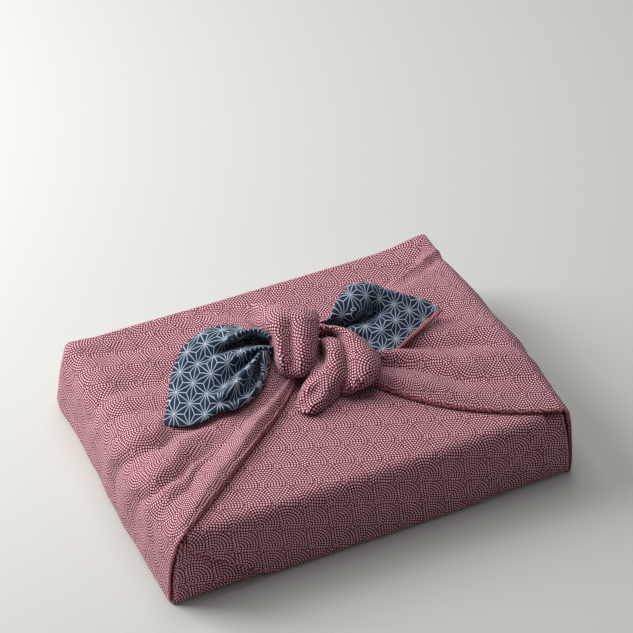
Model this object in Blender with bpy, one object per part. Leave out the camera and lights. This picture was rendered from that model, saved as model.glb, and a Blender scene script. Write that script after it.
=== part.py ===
"""A furoshiki wrap: one square cloth folded round a shallow box and tied on top in a square knot.

Two solids, in metres, +Z up, X along the long front edge, Y away from it, standing on Z = 0.
The cloth is one piece: a band that runs up the front, under, up the back, over and down again,
a flap drawn up each side and across the top, and the knot with its two ears.
"""

import bpy
import numpy as np
from mathutils import Matrix

# The parcel, outside, in metres.
LENGTH = 0.273  # at the foot, left to right
WIDTH = 0.205  # at the foot, front to back
HEIGHT = 0.051  # to the upper face of the side flaps
DRAWN_IN = 0.004  # how far the top edges stand inside the foot

# The cloth.
CLOTH = 0.0012  # thickness of one layer
LAYER_GAP = 0.0006  # air between two layers of the band
EDGE_RADIUS = 0.003  # of the parcel's top and bottom edges
CORNER_RADIUS = 0.0022  # of its upright corners
TOP_LAYER = 0.0495  # upper face of the band, under the side flaps
BED = 0.0005  # how far a flap is sunk into the layer that it is one with
WALL = 0.0032  # depth of a side wall, where the cloth is gathered double

# The box inside.
BOX_CLEARANCE = 0.0003  # from the layers that it lies between
EDGE_CLEARANCE = 0.002  # from the cloth drawn round its edges
BOX_EDGE_RADIUS = 0.001

# The band, in the order in which it is folded, by the outer face of each corner.
# height and depth, radius, then the left and right ends of the layer.
FRONT_TOP = WIDTH / 2 - DRAWN_IN
UNDER_FRONT = CLOTH + LAYER_GAP
UNDER_TOP = TOP_LAYER - UNDER_FRONT
TUCK = CLOTH + BOX_CLEARANCE  # the tucked tip lifts the layer above it by this
FOOT_END = LENGTH / 2 - 0.0022
TOP_END = FOOT_END - DRAWN_IN
BAND = (
    # y, z, radius, left end, right end
    (-0.0450, UNDER_TOP, 0.0, -TOP_END, TOP_END),
    (-FRONT_TOP + UNDER_FRONT, UNDER_TOP, EDGE_RADIUS, -TOP_END, TOP_END),
    (-WIDTH / 2 + UNDER_FRONT, TUCK, EDGE_RADIUS, -FOOT_END, FOOT_END),
    (-0.0250, TUCK, 0.0, -FOOT_END, FOOT_END),
    (-0.0100, 0.0, 0.0, -FOOT_END, FOOT_END),
    (WIDTH / 2, 0.0, EDGE_RADIUS, -FOOT_END, FOOT_END),
    (FRONT_TOP, TOP_LAYER, EDGE_RADIUS, -TOP_END, TOP_END),
    (-FRONT_TOP + 0.012, TOP_LAYER, 0.0, -TOP_END, TOP_END),
    (-FRONT_TOP, TOP_LAYER, EDGE_RADIUS, -0.1270, 0.1180),
    (-WIDTH / 2, 0.0, 0.0020, -0.0800, 0.0680),
    (-0.0290, 0.0, 0.0, -0.0070, -0.0050),
)
BAND_STEPS = 3  # parts of a straight run
ARC_STEPS = 4  # parts of a rounded corner
BAND_COLUMNS = 11

# Where the top stands proud of a plane: gathered corners and the slack along the back edge.
SWELLS = (
    # x, y, reach in x, reach in y, rise
    (0.1310, 0.0960, 0.0200, 0.0220, 0.0050),
    (-0.1320, 0.0960, 0.0300, 0.0200, 0.0012),
    (0.0200, 0.0985, 0.1500, 0.0160, 0.0014),
)

# The side flaps, from the knot (first row) over the top edge and down to the foot (last row).
# The rows are evenly spaced. "out" is the distance from the middle, measured along the cloth.
TOP_EDGE_OUT = LENGTH / 2 - DRAWN_IN
FOOT_OUT = TOP_EDGE_OUT + HEIGHT - (2 - np.pi / 2) * EDGE_RADIUS / 2
WALL_OUT = (TOP_EDGE_OUT + FOOT_OUT) / 2
LEFT_FLAP = (
    # front edge: out, y; back edge: out, y
    (0.0080, 0.0040, 0.0040, 0.0520),
    (0.0345, -0.0245, 0.0280, 0.0840),
    (0.0600, -0.0450, 0.0550, 0.0930),
    (0.0860, -0.0650, 0.0830, 0.0940),
    (0.1100, -0.0825, 0.1090, 0.0948),
    (TOP_EDGE_OUT, -0.0960, TOP_EDGE_OUT, 0.0965),
    (WALL_OUT, -0.0996, WALL_OUT, 0.0996),
    (FOOT_OUT, -0.1018, FOOT_OUT, 0.1018),
)
RIGHT_FLAP = (
    (0.0280, -0.0180, 0.0280, 0.0300),
    (0.0470, -0.0440, 0.0470, 0.0440),
    (0.0680, -0.0630, 0.0680, 0.0560),
    (0.0900, -0.0785, 0.0900, 0.0640),
    (0.1120, -0.0908, 0.1120, 0.0735),
    (TOP_EDGE_OUT, -0.0980, TOP_EDGE_OUT, 0.0960),
    (WALL_OUT, -0.0996, WALL_OUT, 0.0996),
    (FOOT_OUT, -0.1018, FOOT_OUT, 0.1018),
)
# The folds of a flap run from the knot to the foot. Place is the share of the way from the
# front edge to the back edge, at the knot, a third and two thirds of the way, and at the foot.
# Height is how far the fold stands above the plain cloth there; a valley's is negative.
LEFT_FOLDS = (
    # place 1-4, width, height 1-4
    (0.05, 0.045, 0.040, 0.030, 0.0040, 0.0020, 0.0022, 0.0022, 0.0010),
    (0.16, 0.120, 0.090, 0.070, 0.0070, 0.0050, 0.0030, 0.0022, 0.0010),
    (0.20, 0.170, 0.150, 0.130, 0.0060, -0.0020, -0.0010, -0.0018, -0.0012),
    (0.27, 0.225, 0.240, 0.300, 0.0060, -0.0020, -0.0014, -0.0026, -0.0014),
    (0.36, 0.330, 0.330, 0.420, 0.0110, 0.0020, 0.0014, 0.0020, 0.0012),
    (0.44, 0.410, 0.420, 0.560, 0.0050, -0.0020, -0.0008, -0.0030, -0.0030),
    (0.55, 0.540, 0.540, 0.660, 0.0140, 0.0030, 0.0016, 0.0018, 0.0016),
    (0.66, 0.640, 0.700, 0.760, 0.0060, -0.0020, -0.0010, -0.0022, -0.0018),
    (0.78, 0.760, 0.860, 0.880, 0.0060, -0.0020, -0.0010, -0.0014, -0.0016),
)
RIGHT_FOLDS = (
    (0.06, 0.050, 0.035, 0.020, 0.0050, 0.0050, 0.0026, 0.0010, 0.0004),
    (0.22, 0.190, 0.180, 0.200, 0.0070, 0.0040, 0.0030, 0.0014, 0.0004),
    (0.36, 0.300, 0.290, 0.300, 0.0055, -0.0040, -0.0026, -0.0012, -0.0006),
    (0.46, 0.390, 0.360, 0.380, 0.0070, 0.0040, 0.0030, 0.0020, 0.0012),
    (0.58, 0.500, 0.440, 0.440, 0.0060, -0.0040, -0.0030, -0.0024, -0.0012),
    (0.70, 0.640, 0.560, 0.540, 0.0120, 0.0040, 0.0022, 0.0012, 0.0008),
    (0.92, 0.930, 0.940, 0.960, 0.0045, 0.0030, 0.0016, 0.0022, 0.0010),
)
LEFT_NECK_RISE = 0.0095  # how high the gathered cloth stands where it enters the knot
RIGHT_NECK_RISE = 0.0090
NECK_REACH = 0.42  # share of the flap over which that rise dies away

# The knot's lobes. Each is a padded band of cloth along the middle line of its rows.
NEAR_LOBE_SIDE = (0.77, -0.64, 0.0)
FAR_LOBE_SIDE = (0.85, 0.45, 0.20)
TAIL_SIDE = (0.90, -0.35, 0.10)
LEFT_LOBE = (
    # x, y, z, half width, half depth
    (0.010, 0.044, 0.0545, 0.017, 0.0070),
    (0.006, 0.045, 0.0670, 0.022, 0.0070),
    (0.000, 0.036, 0.0755, 0.023, 0.0060),
    (-0.004, 0.024, 0.0765, 0.020, 0.0065),
    (-0.008, 0.012, 0.0710, 0.016, 0.0070),
    (-0.011, 0.003, 0.0630, 0.012, 0.0065),
    (-0.013, -0.001, 0.0540, 0.008, 0.0055),
)
RIGHT_LOBE = (
    (0.012, 0.026, 0.060, 0.006, 0.0080),
    (0.019, 0.016, 0.067, 0.009, 0.0090),
    (0.0235, 0.004, 0.0680, 0.012, 0.0090),
    (0.0270, -0.009, 0.0665, 0.014, 0.0090),
    (0.0270, -0.016, 0.0620, 0.014, 0.0090),
    (0.0245, -0.0195, 0.0565, 0.013, 0.0080),
    (0.0215, -0.019, 0.0520, 0.009, 0.0060),
)
LOWER_LOBE = (
    (0.014, 0.014, 0.062, 0.006, 0.0070),
    (0.0120, 0.001, 0.0700, 0.008, 0.0070),
    (0.0090, -0.010, 0.0700, 0.010, 0.0075),
    (0.0040, -0.018, 0.0670, 0.012, 0.0080),
    (-0.0030, -0.023, 0.0620, 0.013, 0.0080),
    (-0.0100, -0.0255, 0.0570, 0.012, 0.0070),
    (-0.0150, -0.0255, 0.0520, 0.008, 0.0050),
)
KNOT_CORE = (0.004, 0.012, 0.0605)
KNOT_CORE_HALF = (0.026, 0.026, 0.0100)
LOBE_STEPS = 12
LOBE_SIDES = 20
GROOVE_DEPTH = 0.55  # of a lobe's half depth
GROOVE_WIDTH = 0.30  # of its half width

# The ears: the cloth's two free corners, past the knot, from the knot (first row) to the tip.
EAR_CLOTH = 0.0016  # the folded corner, at its thinnest
LEFT_EAR = (
    # front edge x, y, z; back edge x, y, z
    (-0.0200, 0.0060, 0.0640, -0.0100, 0.0330, 0.0690),
    (-0.0310, -0.0020, 0.0615, -0.0200, 0.0410, 0.0690),
    (-0.0450, -0.0100, 0.0580, -0.0330, 0.0520, 0.0675),
    (-0.0617, -0.0115, 0.0560, -0.0479, 0.0590, 0.0635),
    (-0.0778, -0.0139, 0.0550, -0.0658, 0.0503, 0.0590),
    (-0.0916, -0.0128, 0.0540, -0.0841, 0.0295, 0.0560),
    (-0.1035, -0.0070, 0.0535, -0.1045, -0.0050, 0.0540),
)
RIGHT_EAR = (
    (0.0300, -0.0060, 0.0640, 0.0200, 0.0240, 0.0680),
    (0.0420, -0.0140, 0.0610, 0.0290, 0.0300, 0.0730),
    (0.0547, -0.0115, 0.0600, 0.0424, 0.0382, 0.0780),
    (0.0673, -0.0065, 0.0600, 0.0580, 0.0402, 0.0790),
    (0.0803, -0.0024, 0.0605, 0.0732, 0.0301, 0.0740),
    (0.0911, 0.0030, 0.0610, 0.0884, 0.0208, 0.0680),
    (0.1009, 0.0077, 0.0615, 0.1000, 0.0105, 0.0620),
)
# place at the knot and at the tip, width as a share of the ear, height at the knot
LEFT_EAR_FOLDS = (
    (0.10, 0.20, 0.10, 0.0020),
    (0.28, 0.32, 0.08, -0.0030),
    (0.47, 0.47, 0.11, 0.0035),
    (0.72, 0.60, 0.12, -0.0050),
    (0.94, 0.80, 0.10, 0.0020),
)
RIGHT_EAR_FOLDS = (
    (0.15, 0.25, 0.12, 0.0030),
    (0.38, 0.40, 0.10, 0.0020),
    (0.58, 0.55, 0.11, -0.0060),
    (0.85, 0.75, 0.15, 0.0050),
)
EAR_STEPS = 14
EAR_COLUMNS = 13

FLAP_ROWS = 30
FLAP_COLUMNS = 29
EDGE_CROWDING = 0.35  # how much closer the columns stand near a flap's edges


def along(rows, share):
    """The smooth curve through evenly spaced rows, at shares of its length from 0 to 1."""
    rows = np.asarray(rows, float)
    share = np.asarray(share, float)
    last = len(rows) - 1
    place = np.clip(share, 0, 1) * last
    first = np.minimum(place.astype(int), last - 1)
    part = (place - first)[..., None]
    ends = np.vstack([2 * rows[0] - rows[1], rows, 2 * rows[-1] - rows[-2]])
    a, b, c, d = (ends[first + k] for k in range(4))
    bend = (2 * a - 5 * b + 4 * c - d) * part**2 + (3 * b - a - 3 * c + d) * part**3
    return b + 0.5 * ((c - a) * part + bend)


def ease(x):
    """0 below 0, 1 above 1, with level ends."""
    x = np.clip(x, 0, 1)
    return x * x * (3 - 2 * x)


def unit(vectors):
    return vectors / np.maximum(np.linalg.norm(vectors, axis=-1, keepdims=True), 1e-12)


def grid_normals(points):
    """The normals of a surface given as a grid of points."""
    return unit(np.cross(np.gradient(points, axis=0), np.gradient(points, axis=1)))


def half_length(z):
    return LENGTH / 2 - DRAWN_IN * z / HEIGHT


def half_width(z):
    return WIDTH / 2 - DRAWN_IN * z / HEIGHT


def swell(x, y):
    """How far the top stands above its plane at x, y."""
    return sum(
        rise * np.exp(-(((x - at_x) / wide) ** 2) - ((y - at_y) / deep) ** 2)
        for at_x, at_y, wide, deep, rise in SWELLS
    )


def mesh_object(name, points, faces):
    mesh = bpy.data.meshes.new(name)
    mesh.from_pydata(points.tolist(), [], faces.tolist())
    obj = bpy.data.objects.new(name, mesh)
    bpy.context.scene.collection.objects.link(obj)
    return obj


def grid_faces(rows, columns, start=0):
    i, j = np.meshgrid(np.arange(rows - 1), np.arange(columns - 1), indexing="ij")
    a = (start + i * columns + j).ravel()
    return np.stack([a, a + columns, a + columns + 1, a + 1], axis=1)


def face_outward(points, faces):
    """The faces, turned over if they enclose the volume inside out."""
    a, b, c, d = (points[faces[:, k]] for k in range(4))
    six_volumes = (a * np.cross(b, c)).sum() + (a * np.cross(c, d)).sum()
    return faces if six_volumes > 0 else faces[:, ::-1]


def shell(name, outer, inner):
    """One closed body between two grids of the same shape, joined round their rim."""
    rows, columns = outer.shape[:2]
    points = np.concatenate([outer.reshape(-1, 3), inner.reshape(-1, 3)])
    count = rows * columns
    index = np.arange(count).reshape(rows, columns)
    rim = np.concatenate([index[0], index[1:, -1], index[-1, -2::-1], index[-2:0:-1, 0]])
    after = np.roll(rim, -1)
    sides = np.stack([rim, after, after + count, rim + count], axis=1)
    front = grid_faces(rows, columns)
    back = grid_faces(rows, columns, count)[:, ::-1]
    faces = np.concatenate([front, back, sides])
    return mesh_object(name, points, face_outward(points, faces))


def band_path():
    """The band's outer line in Y and Z, the way into the cloth, and its two ends in X."""
    rows = np.array(BAND)
    corners, radii, ends = rows[:, :2], rows[:, 2], rows[:, 3:]
    ways = unit(np.diff(corners, axis=0))
    inward = np.stack([-ways[:, 1], ways[:, 0]], axis=1)
    stops = [(corners[0], inward[0], ends[0])]
    for i in range(1, len(corners) - 1):
        turn = np.arccos(np.clip(ways[i - 1] @ ways[i], -1, 1))
        if radii[i] == 0:
            middle = unit(inward[i - 1] + inward[i])
            stops.append((corners[i], middle / (middle @ inward[i]), ends[i]))
            continue
        cut = radii[i] * np.tan(turn / 2)
        centre = corners[i] - ways[i - 1] * cut + inward[i - 1] * radii[i]
        for angle in np.linspace(0, turn, ARC_STEPS + 1):
            into = inward[i - 1] * np.cos(angle) + ways[i - 1] * -np.sin(angle)
            stops.append((centre - into * radii[i], into, ends[i]))
    stops.append((corners[-1], inward[-1], ends[-1]))
    path = [stops[0]]
    for before, after in zip(stops, stops[1:]):
        steps = BAND_STEPS if np.linalg.norm(after[0] - before[0]) > 0.01 else 1
        for k in range(1, steps + 1):
            share = k / steps
            path.append(tuple(p + (q - p) * share for p, q in zip(before, after)))
    return (np.array(column) for column in zip(*path))


def band():
    """The layer that runs round the box from front to back and over again."""
    line, into, ends = band_path()
    share = (1 - np.cos(np.linspace(0, np.pi, BAND_COLUMNS))) / 2
    x = ends[:, :1] + (ends[:, 1:] - ends[:, :1]) * share
    outer, inner = (
        np.stack([x, *(np.repeat(side[:, k : k + 1], BAND_COLUMNS, 1) for k in (0, 1))], axis=2)
        for side in (line, line + into * CLOTH)
    )
    past_the_back = np.cumsum(line[:, :1] >= WIDTH / 2 - 1e-9, axis=0) > 0
    rise = swell(x, line[:, :1]) * ease(line[:, 1:] / TOP_LAYER) * past_the_back
    outer[..., 2] += rise
    inner[..., 2] += rise
    return shell("band", outer, inner)


def over_the_edge(out, radius=EDGE_RADIUS):
    """How far in from the wall and how far below the top a point lies, and the turn there."""
    arc = radius * np.pi / 2
    start = TOP_EDGE_OUT - radius + (2 - np.pi / 2) * radius / 2
    past = out - start
    turn = np.clip(past / radius, 0, np.pi / 2)
    inward = np.maximum(-past, 0) + radius * (1 - np.sin(turn))
    drop = radius * (1 - np.cos(turn)) + np.maximum(past - arc, 0)
    return inward, drop, turn


def fold_height(folds, u, v, span):
    """The folds' height at shares u across and v down a flap of the given spans across."""
    height = np.zeros_like(u)
    for row in folds:
        place = along(np.array(row[:4])[:, None], v)[..., 0]
        rise = along(np.array(row[5:])[:, None], v)[..., 0]
        height += rise * np.exp(-(((u - place) * span / row[4]) ** 2))
    return height


def flap(name, side, edges, folds, neck_rise):
    """A side flap: drawn up the wall and across the top to the knot. Side is -1 or 1 in X."""
    across = np.linspace(0, 1, FLAP_COLUMNS)
    across = across - EDGE_CROWDING * np.sin(2 * np.pi * across) / (2 * np.pi)
    u, v = np.meshgrid(across, np.linspace(0, 1, FLAP_ROWS), indexing="xy")
    row = along(edges, v)
    out = row[..., 0] + (row[..., 2] - row[..., 0]) * u
    y = row[..., 1] + (row[..., 3] - row[..., 1]) * u
    span = row[..., 3] - row[..., 1]
    inward, drop, turn = over_the_edge(out)
    neck = (1 - ease(v / NECK_REACH)) ** 2 * np.sin(np.pi * np.clip(u, 0, 1)) ** 0.7
    thin = ease(np.minimum(u, 1 - u) * span / 0.004)
    lift = CLOTH + neck_rise * neck + fold_height(folds, u, v, span) * thin
    lift = np.maximum(lift, CLOTH * 0.8)
    z = TOP_LAYER + CLOTH - drop
    edge = np.minimum(u, 1 - u) * span
    round_in = np.maximum(CORNER_RADIUS - edge, 0)
    pull = CORNER_RADIUS - np.sqrt(CORNER_RADIUS**2 - round_in**2)
    proud = lift - CLOTH
    x = half_length(np.clip(z, 0, HEIGHT)) - inward + proud * np.sin(turn)
    x = x - pull * np.sin(turn)
    outer_z = np.maximum(z + proud * np.cos(turn), 0)
    outer_z += swell(side * x, y) * ease(outer_z / TOP_LAYER)
    outer = np.stack([side * x, y, outer_z], axis=2)
    inner_in, inner_drop, _ = over_the_edge(out)
    inner_z = TOP_LAYER - BED - inner_drop * (TOP_LAYER - BED) / inner_drop.max()
    inner_x = half_length(inner_z) - np.maximum(inner_in, WALL)
    inner_z = inner_z + swell(side * inner_x, y) * ease(inner_z / TOP_LAYER)
    inner = np.stack([side * inner_x, y, inner_z], axis=2)
    return shell(name, outer, inner)


def lobe(name, rows, side, groove):
    """A padded band of cloth: flat ovals along a curve, with a groove along its upper face."""
    share = np.linspace(0, 1, LOBE_STEPS)
    line = along(rows, share)
    middle = line[:, :3]
    way = unit(np.gradient(middle, axis=0))
    across = np.array(side) - (way @ np.array(side))[:, None] * way
    across = unit(across)
    up = np.cross(across, way)
    up *= np.sign(up[len(up) // 2, 2])
    angle = np.arange(LOBE_SIDES) * 2 * np.pi / LOBE_SIDES
    wide = np.sign(np.cos(angle)) * np.abs(np.cos(angle)) ** 0.85
    deep = np.sign(np.sin(angle)) * np.abs(np.sin(angle)) ** 0.85
    dip = np.exp(-(((wide - groove) / GROOVE_WIDTH) ** 2)) * (deep > 0.3) * GROOVE_DEPTH
    strength = np.sin(np.pi * share)[:, None]
    ring = (
        middle[:, None]
        + across[:, None] * (line[:, 3:4] * wide)[..., None]
        + up[:, None] * (line[:, 4:5] * (deep - dip * strength))[..., None]
    )
    points = np.concatenate([ring.reshape(-1, 3), middle[:1], middle[-1:]])
    count = LOBE_STEPS * LOBE_SIDES
    i, j = np.meshgrid(np.arange(LOBE_STEPS - 1), np.arange(LOBE_SIDES), indexing="ij")
    a = (i * LOBE_SIDES + j).ravel()
    b = (i * LOBE_SIDES + (j + 1) % LOBE_SIDES).ravel()
    tube = np.stack([a, a + LOBE_SIDES, b + LOBE_SIDES, b], axis=1)
    turn = np.arange(LOBE_SIDES)
    after = (turn + 1) % LOBE_SIDES
    start = np.stack([turn, after, np.full(LOBE_SIDES, count)], axis=1)
    last = count - LOBE_SIDES
    end = np.stack([last + after, last + turn, np.full(LOBE_SIDES, count + 1)], axis=1)
    faces = [*tube.tolist(), *start.tolist(), *end.tolist()]
    mesh = bpy.data.meshes.new(name)
    mesh.from_pydata(points.tolist(), [], faces)
    if signed_volume(mesh) < 0:
        mesh.flip_normals()
    obj = bpy.data.objects.new(name, mesh)
    bpy.context.scene.collection.objects.link(obj)
    return obj


def signed_volume(mesh):
    mesh.calc_loop_triangles()
    corners = np.array([tuple(t.vertices) for t in mesh.loop_triangles])
    points = np.array([tuple(v.co) for v in mesh.vertices])
    a, b, c = (points[corners[:, k]] for k in range(3))
    return (a * np.cross(b, c)).sum() / 6


def knot_core():
    """The crossing of the two strands, hidden under the lobes."""
    bpy.ops.mesh.primitive_uv_sphere_add(segments=16, ring_count=10, radius=1)
    core = bpy.context.object
    core.name = "knot_core"
    core.data.transform(Matrix.Translation(KNOT_CORE) @ Matrix.Diagonal((*KNOT_CORE_HALF, 1)))
    return core


def ear(name, rows, folds):
    """A free corner of the cloth, gathered at the knot and flatter towards its tip."""
    u, v = np.meshgrid(
        np.linspace(0, 1, EAR_COLUMNS), np.linspace(0, 1, EAR_STEPS), indexing="xy"
    )
    line = along(rows, v)
    flat = line[..., :3] + (line[..., 3:] - line[..., :3]) * u[..., None]
    normal = grid_normals(flat)
    normal *= np.sign(normal[..., 2:])
    height = np.zeros_like(u)
    for at_knot, at_tip, width, rise in folds:
        place = at_knot + (at_tip - at_knot) * v
        height += rise * (1 - v) ** 0.8 * np.exp(-(((u - place) / width) ** 2))
    upper = flat + normal * height[..., None]
    under = upper - grid_normals(upper) * np.sign(grid_normals(upper)[..., 2:]) * EAR_CLOTH
    return shell(name, upper, under)


def paint(obj, name, colour, roughness):
    material = bpy.data.materials.new(name)
    material.use_nodes = True
    shader = material.node_tree.nodes["Principled BSDF"]
    shader.inputs["Base Color"].default_value = (*colour, 1)
    shader.inputs["Roughness"].default_value = roughness
    shader.inputs["Metallic"].default_value = 0.0
    obj.data.materials.clear()
    obj.data.materials.append(material)


def join(base, others):
    """The base with the others joined to it, each by an exact union."""
    for other in others:
        other.hide_render = True
        other.display_type = "WIRE"
        union = base.modifiers.new(other.name, "BOOLEAN")
        union.operation = "UNION"
        union.solver = "MANIFOLD"
        union.object = other


def cloth():
    base = band()
    base.name = "cloth"
    base.data.name = "cloth"
    join(
        base,
        [
            flap("left_flap", -1, LEFT_FLAP, LEFT_FOLDS, LEFT_NECK_RISE),
            flap("right_flap", 1, RIGHT_FLAP, RIGHT_FOLDS, RIGHT_NECK_RISE),
            knot_core(),
            lobe("left_lobe", LEFT_LOBE, NEAR_LOBE_SIDE, -0.05),
            lobe("right_lobe", RIGHT_LOBE, FAR_LOBE_SIDE, 0.6),
            lobe("lower_lobe", LOWER_LOBE, TAIL_SIDE, 0.5),
            ear("left_ear", LEFT_EAR, LEFT_EAR_FOLDS),
            ear("right_ear", RIGHT_EAR, RIGHT_EAR_FOLDS),
        ],
    )
    paint(base, "printed cotton", (0.36, 0.13, 0.17), 0.9)
    return base


def box():
    """The plain box that the cloth is drawn round."""
    bottom = TUCK + CLOTH + BOX_CLEARANCE
    top = UNDER_TOP - CLOTH - BOX_CLEARANCE
    side = half_length(top) - WALL - EDGE_CLEARANCE
    back = half_width(top) - CLOTH - EDGE_CLEARANCE
    front = -back + UNDER_FRONT
    bpy.ops.mesh.primitive_cube_add(size=1)
    body = bpy.context.object
    body.name = "box"
    body.dimensions = (2 * side, back - front, top - bottom)
    body.location = (0, (back + front) / 2, (top + bottom) / 2)
    bpy.ops.object.transform_apply(location=False, rotation=False, scale=True)
    edges = body.modifiers.new("edges", "BEVEL")
    edges.width = BOX_EDGE_RADIUS
    edges.segments = 2
    paint(body, "paperboard", (0.62, 0.55, 0.44), 0.8)
    return body


def main():
    for old in list(bpy.data.objects):
        bpy.data.objects.remove(old)
    cloth()
    box()


main()
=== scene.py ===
"""A box wrapped in a furoshiki: one square of printed cotton, folded round and tied in a square knot.

The cloth is made of surfaces of two parameters, worked out as whole arrays: a band that runs round
the box, a flap drawn in from each side, the knot's lobes and the two ears. Tables are in millimetres.
"""

import bpy
import numpy as np
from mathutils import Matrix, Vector


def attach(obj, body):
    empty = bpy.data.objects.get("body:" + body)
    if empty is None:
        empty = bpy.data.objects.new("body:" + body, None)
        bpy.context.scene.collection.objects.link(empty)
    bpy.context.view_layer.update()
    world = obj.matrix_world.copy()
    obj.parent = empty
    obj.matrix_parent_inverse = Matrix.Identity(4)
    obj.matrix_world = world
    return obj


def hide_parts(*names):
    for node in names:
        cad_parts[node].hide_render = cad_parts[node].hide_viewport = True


bl_info = {
    "name": "Furoshiki-wrapped box",
    "version": (1, 0, 0),
    "blender": (4, 5, 0),
    "location": "View3D > Sidebar > Furoshiki",
    "description": "Builds the wrapped box's cloth, knot and ears around its packed frame",
    "category": "Object",
}

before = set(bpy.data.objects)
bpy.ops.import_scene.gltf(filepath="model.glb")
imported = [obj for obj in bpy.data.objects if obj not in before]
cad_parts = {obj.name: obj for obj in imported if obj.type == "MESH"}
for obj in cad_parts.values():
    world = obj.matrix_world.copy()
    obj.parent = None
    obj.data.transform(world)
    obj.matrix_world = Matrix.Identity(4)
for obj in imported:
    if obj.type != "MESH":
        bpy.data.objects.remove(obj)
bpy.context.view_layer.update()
BODY = "root"
MM = 0.001

# The parcel, in metres, as its frame has it.
LENGTH = 0.273
WIDTH = 0.205
HEIGHT = 0.051
DRAWN_IN = 0.004
TOP_LAYER = 0.0495
EDGE_RADIUS = 0.003
FOOT_RADIUS = 0.0025
UNDER_FRONT = 0.0022
UNDER_TOP = TOP_LAYER - UNDER_FRONT
FRONT_TOP = WIDTH / 2 - DRAWN_IN
FOOT_END = LENGTH / 2 - 0.0008
TOP_END = FOOT_END - DRAWN_IN
TOP_EDGE_OUT = LENGTH / 2 - DRAWN_IN
FOOT_OUT = TOP_EDGE_OUT + HEIGHT - (2 - np.pi / 2) * EDGE_RADIUS / 2
WALL_OUT = (TOP_EDGE_OUT + FOOT_OUT) / 2

# The band, by the outer face of each corner of its path from front to back and over again.
BAND = (
    # y, z, radius, left end, right end, step along the run that ends here
    (-45.0, UNDER_TOP / MM, 0.0, -TOP_END / MM, TOP_END / MM, 8),
    ((UNDER_FRONT - FRONT_TOP) / MM, UNDER_TOP / MM, 5.0, -TOP_END / MM, TOP_END / MM, 8),
    (UNDER_FRONT / MM - 102.5, 0.0, 3.0, -FOOT_END / MM, FOOT_END / MM, 2.0),
    (-25.0, 0.0, 0.0, -FOOT_END / MM, FOOT_END / MM, 6),
    (102.5, 0.0, 3.0, -FOOT_END / MM, FOOT_END / MM, 8),
    (FRONT_TOP / MM, TOP_LAYER / MM, 3.0, -TOP_END / MM, TOP_END / MM, 2.0),
    (-FRONT_TOP / MM + 12, TOP_LAYER / MM, 0.0, -TOP_END / MM, TOP_END / MM, 2.0),
    (-FRONT_TOP / MM, TOP_LAYER / MM, 9.0, -127.0, 118.0, 1.6),
    (-102.5, 0.0, 3.0, -80.0, 68.0, 1.6),
    (-29.0, 0.0, 0.0, -7.0, -5.0, 6),
)
ARC_STEPS = 7
BAND_COLUMNS = 116
END_CROWDING = 0.28  # how much closer the columns stand towards the band's two ends
PAST_BACK = 0.09  # a row further back than this, and off the floor, has gone round the back
OFF_FLOOR = 0.001
FRONT_APPROACH = 0.012  # the over layer's front starts this far behind the top front edge
BAND_INSET = 0.0015  # of the band's top inside the flap that lies over it
PRINT_DRAWN = (0.0052, 0.0068)  # how far the print of the under layer is out of step with the rest

# The band's slack: wave, depth and seed, over the top and on the upright faces.
TOP_SLACK = (0.075, 0.00035, 3)
FACE_SLACK = (0.09, 0.0005, 8)
OVER_SWELL_LOST = 0.85  # share of the swell that the over layer's front does without
UPRIGHT_ROUNDING = 0.0040
LEFT_OF = 0.01  # the over layer's hem stands proud left of here, and fades over this width
LEFT_FADE = 0.02

# The over layer's hem on the front: a groove behind the rolled edge, the edge itself raised, and a
# dip in the under layer beside it.
GROOVE = 0.0007
RIM_RISE = 0.0018
RIM_WIDE = 0.0020
DIP = 0.0015
DIP_WIDE = 0.006
HEM_FOOT = -0.080  # where the left hem meets the floor, and how it leans from there
HEM_SLOPE = 0.95
DIP_ASIDE = 0.001  # how far outside the hem's line the dip is deepest
LAYER_GAP = 0.0004  # between the front's two layers where they lie close

# Where the top stands proud of a plane, in millimetres.
SWELLS = (
    # x, y, reach in x, reach in y, rise
    (131.0, 98.0, 20.0, 26.0, 5.4),
    (114.0, 84.0, 26.0, 9.0, 0.6),
    (-100.0, 98.0, 55.0, 16.0, 0.9),
    (0.0, -50.0, 90.0, 40.0, 0.8),
)
# How far each side wall stands out past its plain face, in millimetres.
FOOT_SPREAD = (
    # y, left reach, right reach
    (-103, 4.6, 2.2),
    (-97, 5.4, 2.2),
    (-88, 5.4, 2.2),
    (-55, 5.4, 2.0),
    (-18, 5.6, 2.0),
    (5, 4.4, 2.0),
    (30, 3.0, 2.0),
    (66, 2.2, 1.5),
    (90, 2.4, 1.0),
    (103, 2.4, 0.5),
)
BACK_DRAWN_IN = 0.0020  # of the top of the back left corner
FRONT_LEAN = 0.0018  # of the front's foot past its plain face
# The radius with which the top turns down into each side, in millimetres.
SHOULDERS = (
    # y, left radius, right radius
    (-103, 5.0, 3.0),
    (-90, 9.0, 4.0),
    (-60, 12.0, 5.0),
    (50, 12.0, 5.0),
    (80, 7.0, 3.0),
    (92, 3.0, 2.0),
    (103, 2.5, 2.0),
)


def length(name, text, default):
    return bpy.props.FloatProperty(name=name, description=text, default=default, unit="LENGTH")


def tint(name, text, default):
    return bpy.props.FloatVectorProperty(name=name, description=text, default=default, subtype="COLOR")


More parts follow.
